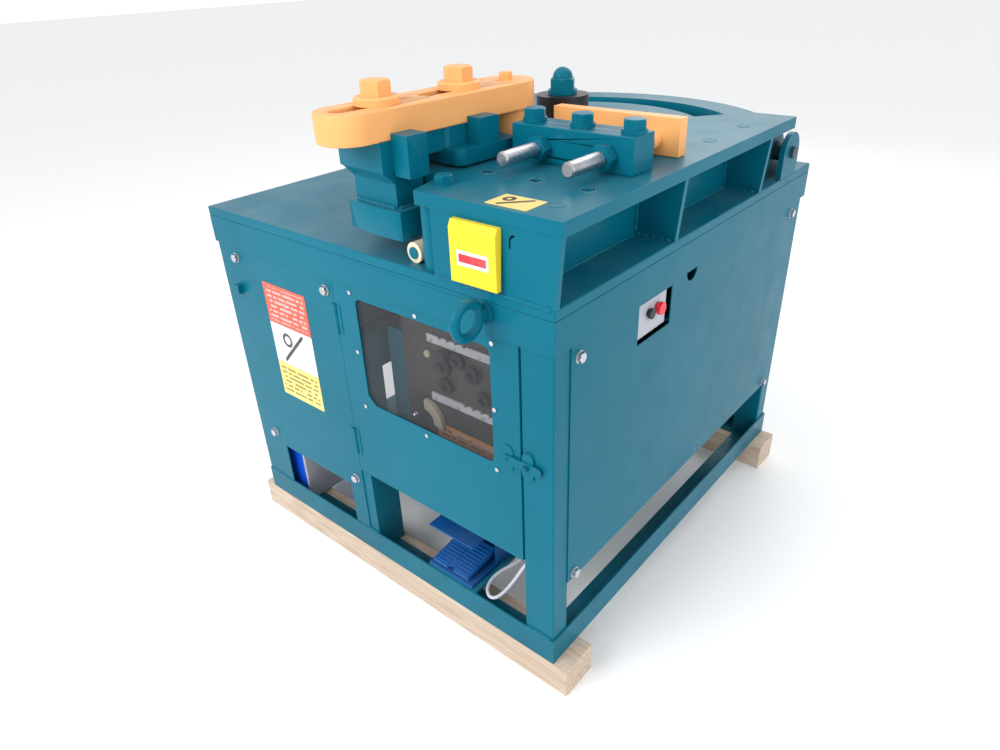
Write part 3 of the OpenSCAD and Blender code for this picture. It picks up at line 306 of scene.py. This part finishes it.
@dataclass
class Graph:
    """A material's node graph round one Principled shader."""

    name: str
    material: bpy.types.Material = field(init=False)

    def __post_init__(self) -> None:
        """Makes the material and finds its shader."""
        self.material = bpy.data.materials.new(self.name)
        self.material.use_nodes = True
        self.tree = self.material.node_tree
        self.shader = next(n for n in self.tree.nodes if n.type == "BSDF_PRINCIPLED")
        self.place = self.node("ShaderNodeTexCoord").outputs["Object"]

    def node(self, kind: str, inputs: dict | None = None, **settings: object) -> bpy.types.Node:
        """Adds a node.

        Args:
            kind: the node's type.
            inputs: socket name or number to a value or to the socket that feeds it.
            settings: the node's own settings.

        Returns:
            The node.
        """
        made = self.tree.nodes.new(kind)
        for key, value in settings.items():
            setattr(made, key, value)
        for key, value in (inputs or {}).items():
            self.put(made.inputs[key], value)
        return made

    def put(self, socket: bpy.types.NodeSocket, value: object) -> None:
        """Links a socket to another, or sets its value."""
        if isinstance(value, bpy.types.NodeSocket):
            self.tree.links.new(value, socket)
        else:
            coloured = isinstance(value, tuple) and socket.type == "RGBA"
            socket.default_value = (*value, 1.0) if coloured else value

    def set(self, **values: object) -> None:
        """Sets or links the shader's sockets, named with underscores for spaces."""
        for key, value in values.items():
            self.put(self.shader.inputs[key.replace("_", " ")], value)

    def noise(self, scale: float, detail: float = 3.0, stretch: Point = (1, 1, 1), rough: float = 0.5,
              ) -> bpy.types.NodeSocket:
        """Noise over the object's own space, stretched along its axes."""
        where = self.node("ShaderNodeMapping", {"Vector": self.place, "Scale": stretch}).outputs[0]
        return self.node("ShaderNodeTexNoise", {"Vector": where, "Scale": scale, "Detail": detail,
                                                "Roughness": rough}).outputs[0]

    def span(self, value: bpy.types.NodeSocket, low: float, high: float, to_low: float = 0.0,
             to_high: float = 1.0) -> bpy.types.NodeSocket:
        """A value's run from low to high turned into a run from to_low to to_high."""
        return self.node("ShaderNodeMapRange", {"Value": value, "From Min": low, "From Max": high,
                                                "To Min": to_low, "To Max": to_high}).outputs[0]

    def sum(self, kind: str, a: object, b: object = 0.0) -> bpy.types.NodeSocket:
        """One arithmetic step, named as Blender names it."""
        return self.node("ShaderNodeMath", {0: a, 1: b}, operation=kind).outputs[0]

    def mix(self, share: object, a: object, b: object) -> bpy.types.NodeSocket:
        """Colour a turned into colour b by a share from 0 to 1."""
        made = self.node("ShaderNodeMix", data_type="RGBA")
        for number, value in ((0, share), (6, a), (7, b)):
            self.put(made.inputs[number], value)
        return made.outputs[2]

    def axis(self, name: str) -> bpy.types.NodeSocket:
        """X, Y or Z of the object's own space."""
        return self.node("ShaderNodeSeparateXYZ", {0: self.place}).outputs[name]

    def bump(self, height: bpy.types.NodeSocket, strength: float, depth: float) -> None:
        """Raises the surface by a height from 0 to 1 times the depth."""
        self.set(Normal=self.node("ShaderNodeBump", {"Height": height, "Strength": strength,
                                                     "Distance": depth}).outputs[0])


@dataclass(frozen=True)
class Enamel:
    """Sprayed gloss enamel: orange peel, brush of dust on top faces, painted shade near the floor, and a few
    chips.
    """

    name: str
    colour: Colour
    under: Colour = (0.05, 0.045, 0.04)
    chips: float = 0.74
    gloss: float = 0.26
    dust: float = 0.05
    sheen: float = 0.16
    tint: Colour = (1.0, 1.0, 1.0)
    wear_from: float = 0.62

    def build(self) -> bpy.types.Material:
        """Makes the material."""
        g = Graph(self.name)
        deep = tuple(c * 0.86 for c in self.colour)
        tone = g.mix(g.span(g.noise(2.3, 4), 0.35, 0.65), deep, self.colour)
        facing = g.node("ShaderNodeNewGeometry").outputs["Normal"]
        up = g.node("ShaderNodeSeparateXYZ", {0: facing}).outputs["Z"]
        dusty = g.sum("MULTIPLY", g.span(up, 0.3, 1.0, 0.0, self.dust), g.span(g.noise(7, 5), 0.35, 0.7))
        tone = g.mix(dusty, tone, (0.62, 0.62, 0.6))
        # painted shade: below 0.30 m the enamel darkens in noisy patches towards near-black teal, standing in
        # for the shade near the floor
        shade_near_floor = g.span(g.axis("Z"), 0.30, 0.06, 0.0, 0.22)
        floor_shade_share = g.sum("MULTIPLY", shade_near_floor, g.span(g.noise(16, 6), 0.4, 0.7))
        tone = g.mix(floor_shade_share, tone, (0.02, 0.03, 0.035))
        speck = g.sum("MULTIPLY", g.span(g.noise(210, 2), self.chips, self.chips + 0.02),
                      g.span(g.noise(7, 2), self.wear_from, self.wear_from + 0.04))
        scratch = g.sum("MULTIPLY", g.span(g.noise(30, 2, (1, 30, 12)), 0.79, 0.81),
                        g.span(g.noise(5, 2), self.wear_from, self.wear_from + 0.06))
        worn = g.sum("MAXIMUM", speck, g.sum("MULTIPLY", scratch, 0.3))
        g.set(Base_Color=g.mix(worn, tone, self.under),
              Specular_IOR_Level=self.sheen, Specular_Tint=self.tint,
              Roughness=g.sum("ADD", g.span(g.noise(12, 5), 0.3, 0.7, self.gloss, self.gloss + 0.12),
                              g.sum("MULTIPLY", worn, 0.3)))
        g.bump(g.sum("ADD", g.noise(330, 2), g.sum("MULTIPLY", worn, -0.5)), 0.10, 0.0003)
        return g.material


@dataclass(frozen=True)
class Steel:
    """Turned, zinc-plated or oiled steel; a thread is a saw-tooth along one axis."""

    name: str
    colour: Colour
    rough: float
    grain: Point = (1, 18, 1)
    thread: float = 0.0

    def build(self) -> bpy.types.Material:
        """Makes the material."""
        g = Graph(self.name)
        lines = g.noise(60, 3, self.grain)
        stain = g.span(g.noise(14, 5), 0.5, 0.72)
        dark = tuple(c * 0.45 for c in self.colour)
        g.set(Base_Color=g.mix(g.sum("MULTIPLY", stain, 0.6), self.colour, dark), Metallic=1.0,
              Roughness=g.span(lines, 0.3, 0.7, self.rough, self.rough + 0.2))
        height = g.sum("MULTIPLY", lines, 0.3)
        if self.thread:
            turns = g.sum("MULTIPLY", g.axis("Y"), 1 / self.thread)
            height = g.sum("ADD", height, g.sum("PINGPONG", turns, 0.5))
        g.bump(height, 0.5 if self.thread else 0.12, 0.0006)
        return g.material


@dataclass(frozen=True)
class Moulded:
    """Moulded plastic, rubber or blackened casting: fine grain and faint handling marks."""

    name: str
    colour: Colour
    rough: float = 0.45
    grain: float = 500.0
    metallic: float = 0.0

    def build(self) -> bpy.types.Material:
        """Makes the material."""
        g = Graph(self.name)
        marks = g.span(g.noise(11, 5), 0.35, 0.7)
        pale = tuple(min(1.0, c * 1.5 + 0.02) for c in self.colour)
        g.set(Base_Color=g.mix(g.sum("MULTIPLY", marks, 0.5), self.colour, pale), Metallic=self.metallic,
              Roughness=g.span(marks, 0, 1, self.rough, self.rough + 0.15))
        g.bump(g.noise(self.grain, 2), 0.3, 0.0003)
        return g.material


@dataclass(frozen=True)
class Timber:
    """Sawn softwood: stretched year rings, knots and fine fibres along X."""

    name: str
    pale: Colour = (0.60, 0.50, 0.40)
    dark: Colour = (0.40, 0.27, 0.18)

    def build(self) -> bpy.types.Material:
        """Makes the material."""
        g = Graph(self.name)
        bent = g.sum("MULTIPLY", g.noise(3.0, 3, (0.35, 3, 3)), 34.0)
        rings = g.sum("PINGPONG", bent, 1.0)
        fibre = g.noise(120, 3, (0.05, 1, 1))
        spots = g.node("ShaderNodeTexVoronoi", {"Vector": g.node("ShaderNodeMapping", {
            "Vector": g.place, "Scale": (0.55, 1.6, 1.6)}).outputs[0], "Scale": 5.0}).outputs["Distance"]
        knot = g.span(spots, 0.10, 0.03)
        tone = g.mix(g.sum("MULTIPLY", rings, 0.55), self.pale, self.dark)
        tone = g.mix(g.span(fibre, 0.45, 0.75, 0, 0.35), tone, self.dark)
        tone = g.mix(knot, tone, (0.25, 0.13, 0.06))
        g.set(Base_Color=tone, Roughness=g.span(fibre, 0.3, 0.7, 0.6, 0.85))
        g.bump(g.sum("ADD", fibre, g.sum("MULTIPLY", rings, 0.3)), 0.6, 0.0008)
        return g.material


@dataclass(frozen=True)
class Pane:
    """Clear plastic sheet with a smoky tint and faint smears."""

    name: str

    def build(self) -> bpy.types.Material:
        """Makes the material."""
        g = Graph(self.name)
        smear = g.span(g.noise(8, 5, (1, 1, 3)), 0.4, 0.75)
        g.set(Base_Color=(0.045, 0.05, 0.055), Alpha=0.26, Specular_IOR_Level=0.45,
              Roughness=g.span(smear, 0, 1, 0.015, 0.06))
        return g.material


class Print(Enum):
    """Kinds of printed plate."""

    ROWS = "rows"
    SIGN = "sign"
    BAR = "bar"


@dataclass(frozen=True)
class Label:
    """Printed plate: short plain dashes in rows, a plain sign or a bar.

    The pattern is a product of steps on X and on the height axis of the object's own space.
    """

    name: str
    ground: Colour
    ink: Colour
    kind: Print
    centre: Point
    rise: str = "Z"
    row: float = 0.012
    width: float = 0.10
    height: float = 0.06

    def build(self) -> bpy.types.Material:
        """Makes the material."""
        g = Graph(self.name)
        x = g.sum("SUBTRACT", g.axis("X"), self.centre[0])
        z = g.sum("SUBTRACT", g.axis(self.rise), self.centre[2 if self.rise == "Z" else 1])
        if self.kind is Print.ROWS:
            strip = g.sum("FLOOR", g.sum("DIVIDE", z, self.row))
            within = g.sum("FRACT", g.sum("DIVIDE", z, self.row))
            line = g.sum("MULTIPLY", g.sum("GREATER_THAN", within, 0.3), g.sum("LESS_THAN", within, 0.72))
            place = g.sum("FLOOR", g.sum("DIVIDE", x, self.row * 0.5))
            spot = g.node("ShaderNodeCombineXYZ", {0: place, 1: strip})
            chance = g.node("ShaderNodeTexWhiteNoise", {0: spot.outputs[0]}, noise_dimensions="2D")
            dash = chance.outputs["Value"]
            ink = g.sum("MULTIPLY", line, g.sum("GREATER_THAN", dash, 0.28))
        elif self.kind is Print.BAR:
            ink = g.sum("LESS_THAN", g.sum("ABSOLUTE", z), self.height * 0.28)
        else:
            long = g.sum("MULTIPLY", g.sum("LESS_THAN", g.sum("ABSOLUTE", g.sum("SUBTRACT", z, x)), 0.006),
                         g.sum("LESS_THAN", g.sum("ABSOLUTE", x), self.width * 0.28))
            disc = g.sum("SQRT", g.sum("ADD", g.sum("POWER", g.sum("SUBTRACT", x, -0.02), 2.0),
                                       g.sum("POWER", g.sum("SUBTRACT", z, self.height * 0.16), 2.0)))
            hoop = g.sum("LESS_THAN", g.sum("ABSOLUTE", g.sum("SUBTRACT", disc, self.height * 0.14)), 0.004)
            ink = g.sum("MAXIMUM", long, hoop)
        edge = g.sum("MULTIPLY", g.sum("LESS_THAN", g.sum("ABSOLUTE", x), self.width * 0.44),
                     g.sum("LESS_THAN", g.sum("ABSOLUTE", z), self.height * 0.43))
        tone = g.mix(g.sum("MULTIPLY", ink, edge), self.ground, self.ink)
        tone = g.mix(g.span(g.noise(30, 5), 0.5, 0.8, 0, 0.18), tone, (0.55, 0.55, 0.52))
        g.set(Base_Color=tone, Roughness=g.span(g.noise(20, 3), 0.3, 0.7, 0.3, 0.5))
        g.bump(g.noise(90, 2), 0.15, 0.0003)
        return g.material


TEAL: Colour = (0.0012, 0.135, 0.205)
ORANGE: Colour = (0.95, 0.455, 0.165)

FINISHES = {
    Slot.GREEN: Enamel("teal_enamel", TEAL, tint=(0.42, 0.85, 0.95)),
    Slot.ZINC: Steel("zinc_plate", (0.62, 0.60, 0.62), 0.25, (1, 1, 6)),
    Slot.STEEL: Steel("turned_steel", (0.60, 0.57, 0.60), 0.22),
    Slot.ORANGE: Enamel("orange_enamel", ORANGE, chips=0.72, gloss=0.34, dust=0.10, under=(0.75, 0.66, 0.55)),
    Slot.ROLLER: Moulded("blackened_roller", (0.022, 0.020, 0.024), 0.30, 300, 0.4),
    Slot.BLACK: Moulded("black_plastic", (0.014, 0.013, 0.017)),
    Slot.HOSE: Moulded("hose_rubber", (0.018, 0.018, 0.020), 0.55, 220),
    Slot.RED: Moulded("red_plastic", (0.62, 0.012, 0.025), 0.22),
    Slot.YELLOW: Enamel("yellow_enamel", (0.90, 0.66, 0.035), chips=0.70, gloss=0.24),
    Slot.TIMBER: Timber("sawn_timber"),
    Slot.GREY: Enamel("grey_enamel", (0.46, 0.48, 0.54), chips=0.8),
    Slot.BLUE: Enamel("blue_enamel", (0.004, 0.085, 0.30), chips=0.8, gloss=0.34, tint=(0.6, 0.8, 1.0)),
    Slot.BOARD: Moulded("dark_board", (0.050, 0.042, 0.040), 0.32, 900),
    Slot.CREAM: Moulded("cream_plastic", (0.62, 0.55, 0.40), 0.35),
    Slot.PANE: Pane("smoked_pane"),
    Slot.CABLE: Moulded("grey_sheath", (0.50, 0.51, 0.58), 0.4, 260),
}


@dataclass
class Workshop:
    """Finishes made once and handed to CAD nodes and new pieces."""

    made: dict[str, bpy.types.Material] = field(default_factory=dict)

    def finish(self, thing: object) -> bpy.types.Material:
        """The material of a slot or of a finish, made on first use."""
        recipe = FINISHES[thing] if isinstance(thing, Slot) else thing
        if recipe.name not in self.made:
            self.made[recipe.name] = recipe.build()
        return self.made[recipe.name]

    def dress(self, piece: bpy.types.Object, slot: Slot, body: str,
              finish: object = None) -> bpy.types.Object:
        """Gives a new piece its finish and its body.

        Args:
            piece: the new piece.
            slot: the record's slot it belongs to.
            body: the CAD body it rides on.
            finish: a finish of its own, where it isn't the slot's.

        Returns:
            The piece.
        """
        piece.data.materials.append(self.finish(finish or slot))
        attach(piece, body)
        log.info("%s: %d faces, on %s", piece.name, len(piece.data.polygons), body)
        return piece

    def repaint(self) -> None:
        """Gives every CAD node the finish of its slot."""
        named = {part["node"]: Slot(part["material_slot"]) for part in frame["record"]["subparts"]}
        special = {"adjusting_studs": Steel("threaded_steel", (0.62, 0.59, 0.62), 0.22, (1, 18, 1), 0.003),
                   "gauge_rails": Moulded("bright_rail", (0.62, 0.62, 0.66), 0.3, 700),
                   "lug_roller": Steel("dark_steel", (0.10, 0.11, 0.12), 0.35),
                   "oil_tank": Enamel("tank_blue", (0.003, 0.075, 0.62), chips=0.8, gloss=0.3)}
        for node, thing in frame["nodes"].items():
            material = self.finish(special.get(node, named[node]))
            for place in range(len(thing.data.materials)):
                thing.data.materials[place] = material
            log.info("%s painted %s", node, material.name)


def soften(node: str, width: float) -> None:
    """Rounds a CAD node's outer edges: loose triangles are welded, then edges over 50 degrees bevelled.

    Args:
        node: the CAD node's name.
        width: width of the bevel in metres.
    """
    thing = frame["nodes"][node]
    weld = thing.modifiers.new("weld", "WELD")
    weld.merge_threshold = 0.00002
    bevel = thing.modifiers.new("edges", "BEVEL")
    bevel.width, bevel.segments = width, 2
    bevel.limit_method, bevel.angle_limit = "ANGLE", math.radians(50)
    bevel.use_clamp_overlap, bevel.harden_normals = True, False


# ---------------------------------------------------------------- sub-assemblies


@dataclass
class FootCable:
    """Cable of the foot switch: the CAD cord's own route, drawn as a fine round tube."""

    radius: float = 0.004
    route: tuple[Point, ...] = (
        (0.284, -0.400, 0.175), (0.296, -0.400, 0.176), (0.308, -0.406, 0.176), (0.315, -0.420, 0.174),
        (0.312, -0.440, 0.170), (0.302, -0.460, 0.165), (0.294, -0.480, 0.160), (0.291, -0.500, 0.155),
        (0.296, -0.520, 0.151), (0.307, -0.533, 0.149), (0.320, -0.538, 0.149), (0.332, -0.532, 0.152),
        (0.341, -0.517, 0.161), (0.348, -0.502, 0.175), (0.356, -0.491, 0.193), (0.366, -0.480, 0.218),
        (0.384, -0.470, 0.255), (0.410, -0.462, 0.295), (0.435, -0.456, 0.330), (0.453, -0.454, 0.352),
        (0.459, -0.454, 0.370),
    )

    def build(self, shop: Workshop) -> None:
        path = spline(np.array(self.route), 6)
        cable = tube("switch_cable", path, self.radius, (1, 1, -1), 20)
        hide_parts("foot_cable")
        shop.dress(cable, Slot.CABLE, "cabinet")
        length = float(np.linalg.norm(np.diff(path, axis=0), axis=1).sum())
        log.info("cable %.3f m long", length)


@dataclass
class FrontLabels:
    """Three plain printed plates on the front-left panel, and one on the table's corner."""

    left: float = -0.337
    right: float = -0.180
    thick: float = 0.0006
    levels: tuple[float, ...] = (0.447, 0.541, 0.646, 0.748)
    face: float = -0.5465

    def build(self, shop: Workshop) -> None:
        """Builds the plates from the lowest up."""
        middle = (self.left + self.right) / 2
        inks = (((0.82, 0.62, 0.16), (0.22, 0.17, 0.06), Print.ROWS),
                ((0.72, 0.72, 0.74), (0.03, 0.03, 0.03), Print.SIGN),
                ((0.74, 0.09, 0.04), (0.50, 0.40, 0.42), Print.ROWS))
        for n, (ground, ink, kind) in enumerate(inks):
            low, high = self.levels[n] + 0.0005, self.levels[n + 1] - 0.0005
            centre = (middle, self.face, (low + high) / 2)
            outline = rounded_outline(self.right - self.left, high - low, 0.002)
            plate = stamped(f"front_label_{n + 1}", centre, (1, 0, 0), (0, 0, 1), outline, self.thick)
            shop.dress(plate, Slot.YELLOW, "cabinet", Label(
                f"front_print_{n + 1}", ground, ink, kind, centre, width=self.right - self.left,
                height=high - low, row=0.0125))
        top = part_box("table_plate")[1][2]
        centre = (0.394, -0.510, top)
        outline = rounded_outline(0.084, 0.056, 0.002)
        plate = stamped("table_label", centre, (1, 0, 0), (0, 1, 0), outline, self.thick)
        shop.dress(plate, Slot.YELLOW, "cabinet", Label(
            "table_print", (0.80, 0.62, 0.18), (0.04, 0.03, 0.02), Print.SIGN, centre, rise="Y", width=0.084,
            height=0.056))


@dataclass
class FlapLabel:
    """White plate with a red bar on the return flap."""

    width: float = 0.068
    height: float = 0.026

    def build(self, shop: Workshop) -> None:
        """Builds the plate on the flap's face."""
        low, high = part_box("return_flap")
        centre = ((low[0] + high[0]) / 2, low[1], low[2] + 0.045)
        outline = rounded_outline(self.width, self.height, 0.002)
        plate = stamped("flap_label", centre, (1, 0, 0), (0, 0, 1), outline, 0.0006)
        shop.dress(plate, Slot.YELLOW, "flap", Label(
            "flap_print", (0.85, 0.85, 0.85), (0.65, 0.02, 0.03), Print.BAR, centre, width=self.width,
            height=self.height))


@dataclass
class WeldBeads:
    """Painted weld beads where plates and posts meet."""

    size: float = 0.0042

    def runs(self) -> dict[str, list[tuple[Point, Point]]]:
        """Start and end of every bead, by body."""
        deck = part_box("lid_plate")[1][2]
        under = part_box("table_plate")[0][2]
        fixed = []
        for y in (-0.538, -0.165, -0.153, 0.227):
            fixed.append(((0.410, y, deck), (0.492, y, deck)))
            fixed.append(((0.418, y, under), (0.500, y, under)))
        for y0, y1 in ((-0.534, -0.168), (-0.150, 0.224)):
            fixed.append(((0.415, y0, deck), (0.415, y1, deck)))
            fixed.append(((0.415, y0, under), (0.415, y1, under)))
        for y in (-0.534, -0.168, -0.150, 0.224):
            fixed.append(((0.4155, y, deck + 0.004), (0.4155, y, under - 0.004)))
        angle_top = 0.140
        for x0, x1 in ((-0.490, -0.426), (0.426, 0.490), (-0.098, -0.044)):
            fixed.append(((x0, -0.5445, angle_top), (x1, -0.5445, angle_top)))
        fixed.append(((0.244, -0.549, deck), (0.496, -0.549, deck)))
        return {"cabinet": fixed}

    def build(self, shop: Workshop) -> None:
        """Builds every bead."""
        for body, runs in self.runs().items():
            for n, (start, end) in enumerate(runs):
                shop.dress(bead(f"weld_{body}_{n + 1}", start, end, self.size, n), Slot.GREEN, body)


@dataclass
class Arm:
    """Swinging arm: weld beads of its column and carrier, laid along its own direction."""

    home: float = math.radians(-93.5)
    shaft: tuple[float, float] = (0.112, 0.010)

    def place(self, reach: float, side: float, height: float) -> Point:
        """A point of the arm's own frame in the machine's frame."""
        c, s = math.cos(self.home), math.sin(self.home)
        return (self.shaft[0] + c * reach - s * side, self.shaft[1] + s * reach + c * side, height)

    def build(self, shop: Workshop) -> None:
        """Builds the beads round the column's foot."""
        low = 0.991
        runs = (((0.470, -0.065, low), (0.534, -0.065, low)), ((0.535, -0.062, low), (0.535, 0.054, low)),
                ((0.534, 0.057, low), (0.470, 0.057, low)))
        for n, (start, end) in enumerate(runs):
            piece = bead(f"weld_arm_{n + 1}", self.place(*start), self.place(*end), 0.0045, n + 40)
            shop.dress(piece, Slot.GREEN, "swing_arm")


@dataclass
class PedalRibs:
    """Cross ribs on the foot pedal's tread."""

    count: int = 9
    rise: float = 0.0022

    def build(self, shop: Workshop) -> None:
        """Builds the ribs, each a flattened tube along X on the sloping tread."""
        low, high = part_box("foot_pedal")
        start = np.array([0.0, -0.542, 0.169])
        step = np.array([0.0, 0.084, 0.014]) / self.count
        for n in range(self.count):
            at = start + step * (n + 0.7)
            for side, (x0, x1) in enumerate(((low[0] + 0.005, -1.0), (-1.0, high[0] - 0.005))):
                middle = (low[0] + high[0]) / 2
                gap = 0.013 if n < 2 else 0.004
                a = x0 if side == 0 else middle + gap
                b = middle - gap if side == 0 else x1
                path = np.linspace([a, at[1], at[2]], [b, at[1], at[2]], 6)
                rib = tube(f"pedal_rib_{n + 1}_{side + 1}", path, self.rise, (0, 0, 1), 12)
                shop.dress(rib, Slot.BLUE, "pedal")


@dataclass
class Gauge:
    """Small pieces on the board behind the window: cam wheels, rivets, a printed strip, a stud and a rod."""

    face: float = field(default_factory=lambda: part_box("gauge_plate")[0][1])

    def build(self, shop: Workshop) -> None:
        """Builds the small pieces of the gauge."""
        y = self.face
        out = (0, -1, 0)
        for n, (x, z, r) in enumerate(((0.180, 0.668, 0.022), (0.222, 0.692, 0.018), (0.258, 0.672, 0.020),
                                       (0.184, 0.622, 0.018), (0.286, 0.626, 0.016))):
            profile = [(0, r), (0.010, r), (0.011, r * 0.9), (0.011, r * 0.4),
                       (0.018, r * 0.36), (0.018, 0.002)]
            wheel = turned(f"cam_wheel_{n + 1}", (x, y, z), out, profile, 48, 16, 0.0016)
            shop.dress(wheel, Slot.BLACK, "cabinet")
        for rail, z in enumerate((0.584, 0.721)):
            for n, x in enumerate((0.150, 0.215, 0.280, 0.345, 0.390)):
                rivet = turned(f"rivet_{rail + 1}_{n + 1}", (x, y - 0.004, z - 0.003), out,
                               [(0, 0.0042), (0.0012, 0.004), (0.0022, 0.0028), (0.0026, 0.0008)], 20)
                shop.dress(rivet, Slot.ZINC, "cabinet")
        centre = (0.264, y, 0.500)
        outline = rounded_outline(0.240, 0.036, 0.002)
        strip = stamped("scale_strip", centre, (1, 0, 0), (0, 0, 1), outline, 0.0008)
        shop.dress(strip, Slot.YELLOW, "cabinet", Label(
            "scale_print", (0.86, 0.34, 0.06), (0.25, 0.08, 0.02), Print.ROWS, centre,
            width=0.24, height=0.036, row=0.012))
        profile = [(0, 0.008), (0.006, 0.008), (0.008, 0.005), (0.008, 0.001)]
        knob = turned("pale_stud", (0.136, y, 0.682), out, profile, 32)
        shop.dress(knob, Slot.CREAM, "cabinet")
        profile = [(0, 0.010), (0.002, 0.010), (0.0021, 0.007),
                   (0.007, 0.007), (0.009, 0.005), (0.009, 0.001)]
        screw = turned("stop_screw", (0.079, y, 0.510), out, profile, 6)
        shop.dress(screw, Slot.ZINC, "cabinet")
        # the rod runs below the slider's path
        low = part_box("gauge_slider")[0][2] - 0.0035
        rod = np.linspace([0.190, y - 0.0026, low], [0.400, y - 0.0026, low], 8)
        shop.dress(tube("guide_rod", rod, 0.0022, (0, 0, 1), 16), Slot.STEEL, "cabinet")


@dataclass
class TableMarks:
    """Plug rings in the table's top, and worn metal round the threaded holes."""

    spots: tuple[tuple[float, float], ...] = (
        (0.456, -0.487), (0.456, -0.321), (0.456, 0.038), (0.456, 0.200))
    radius: float = 0.013
    holes: tuple[float, ...] = (0.236, 0.343, 0.450)
    row: float = -0.390

    def build(self, shop: Workshop) -> None:
        """Builds a thin raised ring at each plug, and a bare rim at each threaded hole."""
        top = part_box("table_plate")[1][2]
        turn = np.linspace(0, 2 * np.pi, 49)[:-1]
        for n, (x, y) in enumerate(self.spots):
            size = 0.0006
            profile = [(0.0, self.radius + size), (size, self.radius + size), (size, self.radius - size),
                       (0.0002, self.radius - size * 1.2)]
            rows = np.array(profile)
            rings = np.stack([x + rows[:, 1, None] * np.cos(turn), y + rows[:, 1, None] * np.sin(turn),
                              top + rows[:, 0, None] + 0 * turn], -1)
            shop.dress(shell(f"plug_ring_{n + 1}", rings), Slot.GREEN, "cabinet")
        for n, x in enumerate(self.holes):
            rim = turned_ring(f"thread_rim_{n + 1}", (x, self.row, top), 0.0121, 0.0138, 0.0003)
            shop.dress(rim, Slot.STEEL, "cabinet")


@dataclass
class Studio:
    """Pale floor, soft light from all sides and the camera."""

    eye: Point = (1.100, -1.379, 1.375)
    ahead: Point = (-0.5675, 0.6552, -0.4988)
    roll: float = math.radians(-2.23)
    lens: float = 26.07
    floor_half: float = 30.0

    def camera(self) -> bpy.types.Object:
        """Makes the camera: it looks along ahead, turned about that line by roll."""
        lens = bpy.data.cameras.new("camera")
        lens.lens, lens.sensor_width = self.lens, 36.0
        lens.clip_start, lens.clip_end = 0.05, 60
        thing = bpy.data.objects.new("camera", lens)
        bpy.context.scene.collection.objects.link(thing)
        turn = Vector(self.ahead).to_track_quat("-Z", "Y").to_matrix() @ Matrix.Rotation(self.roll, 3, "Z")
        thing.matrix_world = Matrix.Translation(self.eye) @ turn.to_4x4()
        bpy.context.scene.camera = thing
        return thing

    def lamp(self, name: str, at: Point, size: float, power: float, colour: Colour = (1, 1, 1)) -> None:
        """Makes a square soft lamp that faces the machine's middle."""
        data = bpy.data.lights.new(name, "AREA")
        data.size, data.energy, data.color = size, power, colour
        thing = bpy.data.objects.new(name, data)
        bpy.context.scene.collection.objects.link(thing)
        aim = (Vector((0, 0, 0.6)) - Vector(at)).to_track_quat("-Z", "Y")
        thing.location, thing.rotation_mode, thing.rotation_quaternion = at, "QUATERNION", aim

    def build(self) -> None:
        """Makes the floor, the world and the lamps."""
        half = self.floor_half
        corners = ((-half, -half), (half, -half), (half, half), (-half, half))
        slab = np.array([[(x, y, z) for x, y in corners] for z in (-0.02, 0)], float)
        floor = shell("floor", slab, smooth=False)
        ground = Graph("pale_floor")
        ground.set(Base_Color=(0.93, 0.93, 0.93), Roughness=0.8)
        floor.data.materials.append(ground.material)
        bpy.context.scene.view_settings.view_transform = "Standard"
        world = bpy.data.worlds.new("soft_room")
        world.use_nodes = True
        sky = next(n for n in world.node_tree.nodes if n.type == "BACKGROUND")
        seen = world.node_tree.nodes.new("ShaderNodeLightPath").outputs["Is Camera Ray"]
        level = world.node_tree.nodes.new("ShaderNodeMapRange")
        level.inputs["To Min"].default_value, level.inputs["To Max"].default_value = 0.95, 1.6
        world.node_tree.links.new(seen, level.inputs["Value"])
        world.node_tree.links.new(level.outputs["Result"], sky.inputs["Strength"])
        sky.inputs["Color"].default_value = (0.98, 0.99, 1.0, 1)
        bpy.context.scene.world = world
        self.lamp("key", (-0.6, -3.4, 2.6), 1.8, 92)
        self.lamp("right", (3.6, -0.6, 2.2), 2.2, 38)
        self.lamp("back", (-0.6, 3.2, 3.0), 2.2, 34)


SOFTENED = {
    "table_plate": 0.0012, "arm_bar": 0.003, "reaction_block": 0.002, "receiving_plate": 0.0015,
    "lid_plate": 0.0025, "rim_frame": 0.0012, "lower_arm": 0.003, "arm_carrier": 0.002,
    "skids": 0.002, "return_flap": 0.0012,
}


def main() -> None:
    """Builds the whole scene in order: camera and cable first, then paint, small pieces and light."""
    logging.basicConfig(level=logging.INFO, format="%(name)s: %(message)s")
    studio, shop = Studio(), Workshop()
    studio.camera()
    FootCable().build(shop)
    shop.repaint()
    for part in (FrontLabels(), FlapLabel(), WeldBeads(), Arm(), PedalRibs(), Gauge(), TableMarks()):
        part.build(shop)
    for node, width in SOFTENED.items():
        soften(node, width)
    studio.build()


if __name__ == "__main__":
    main()
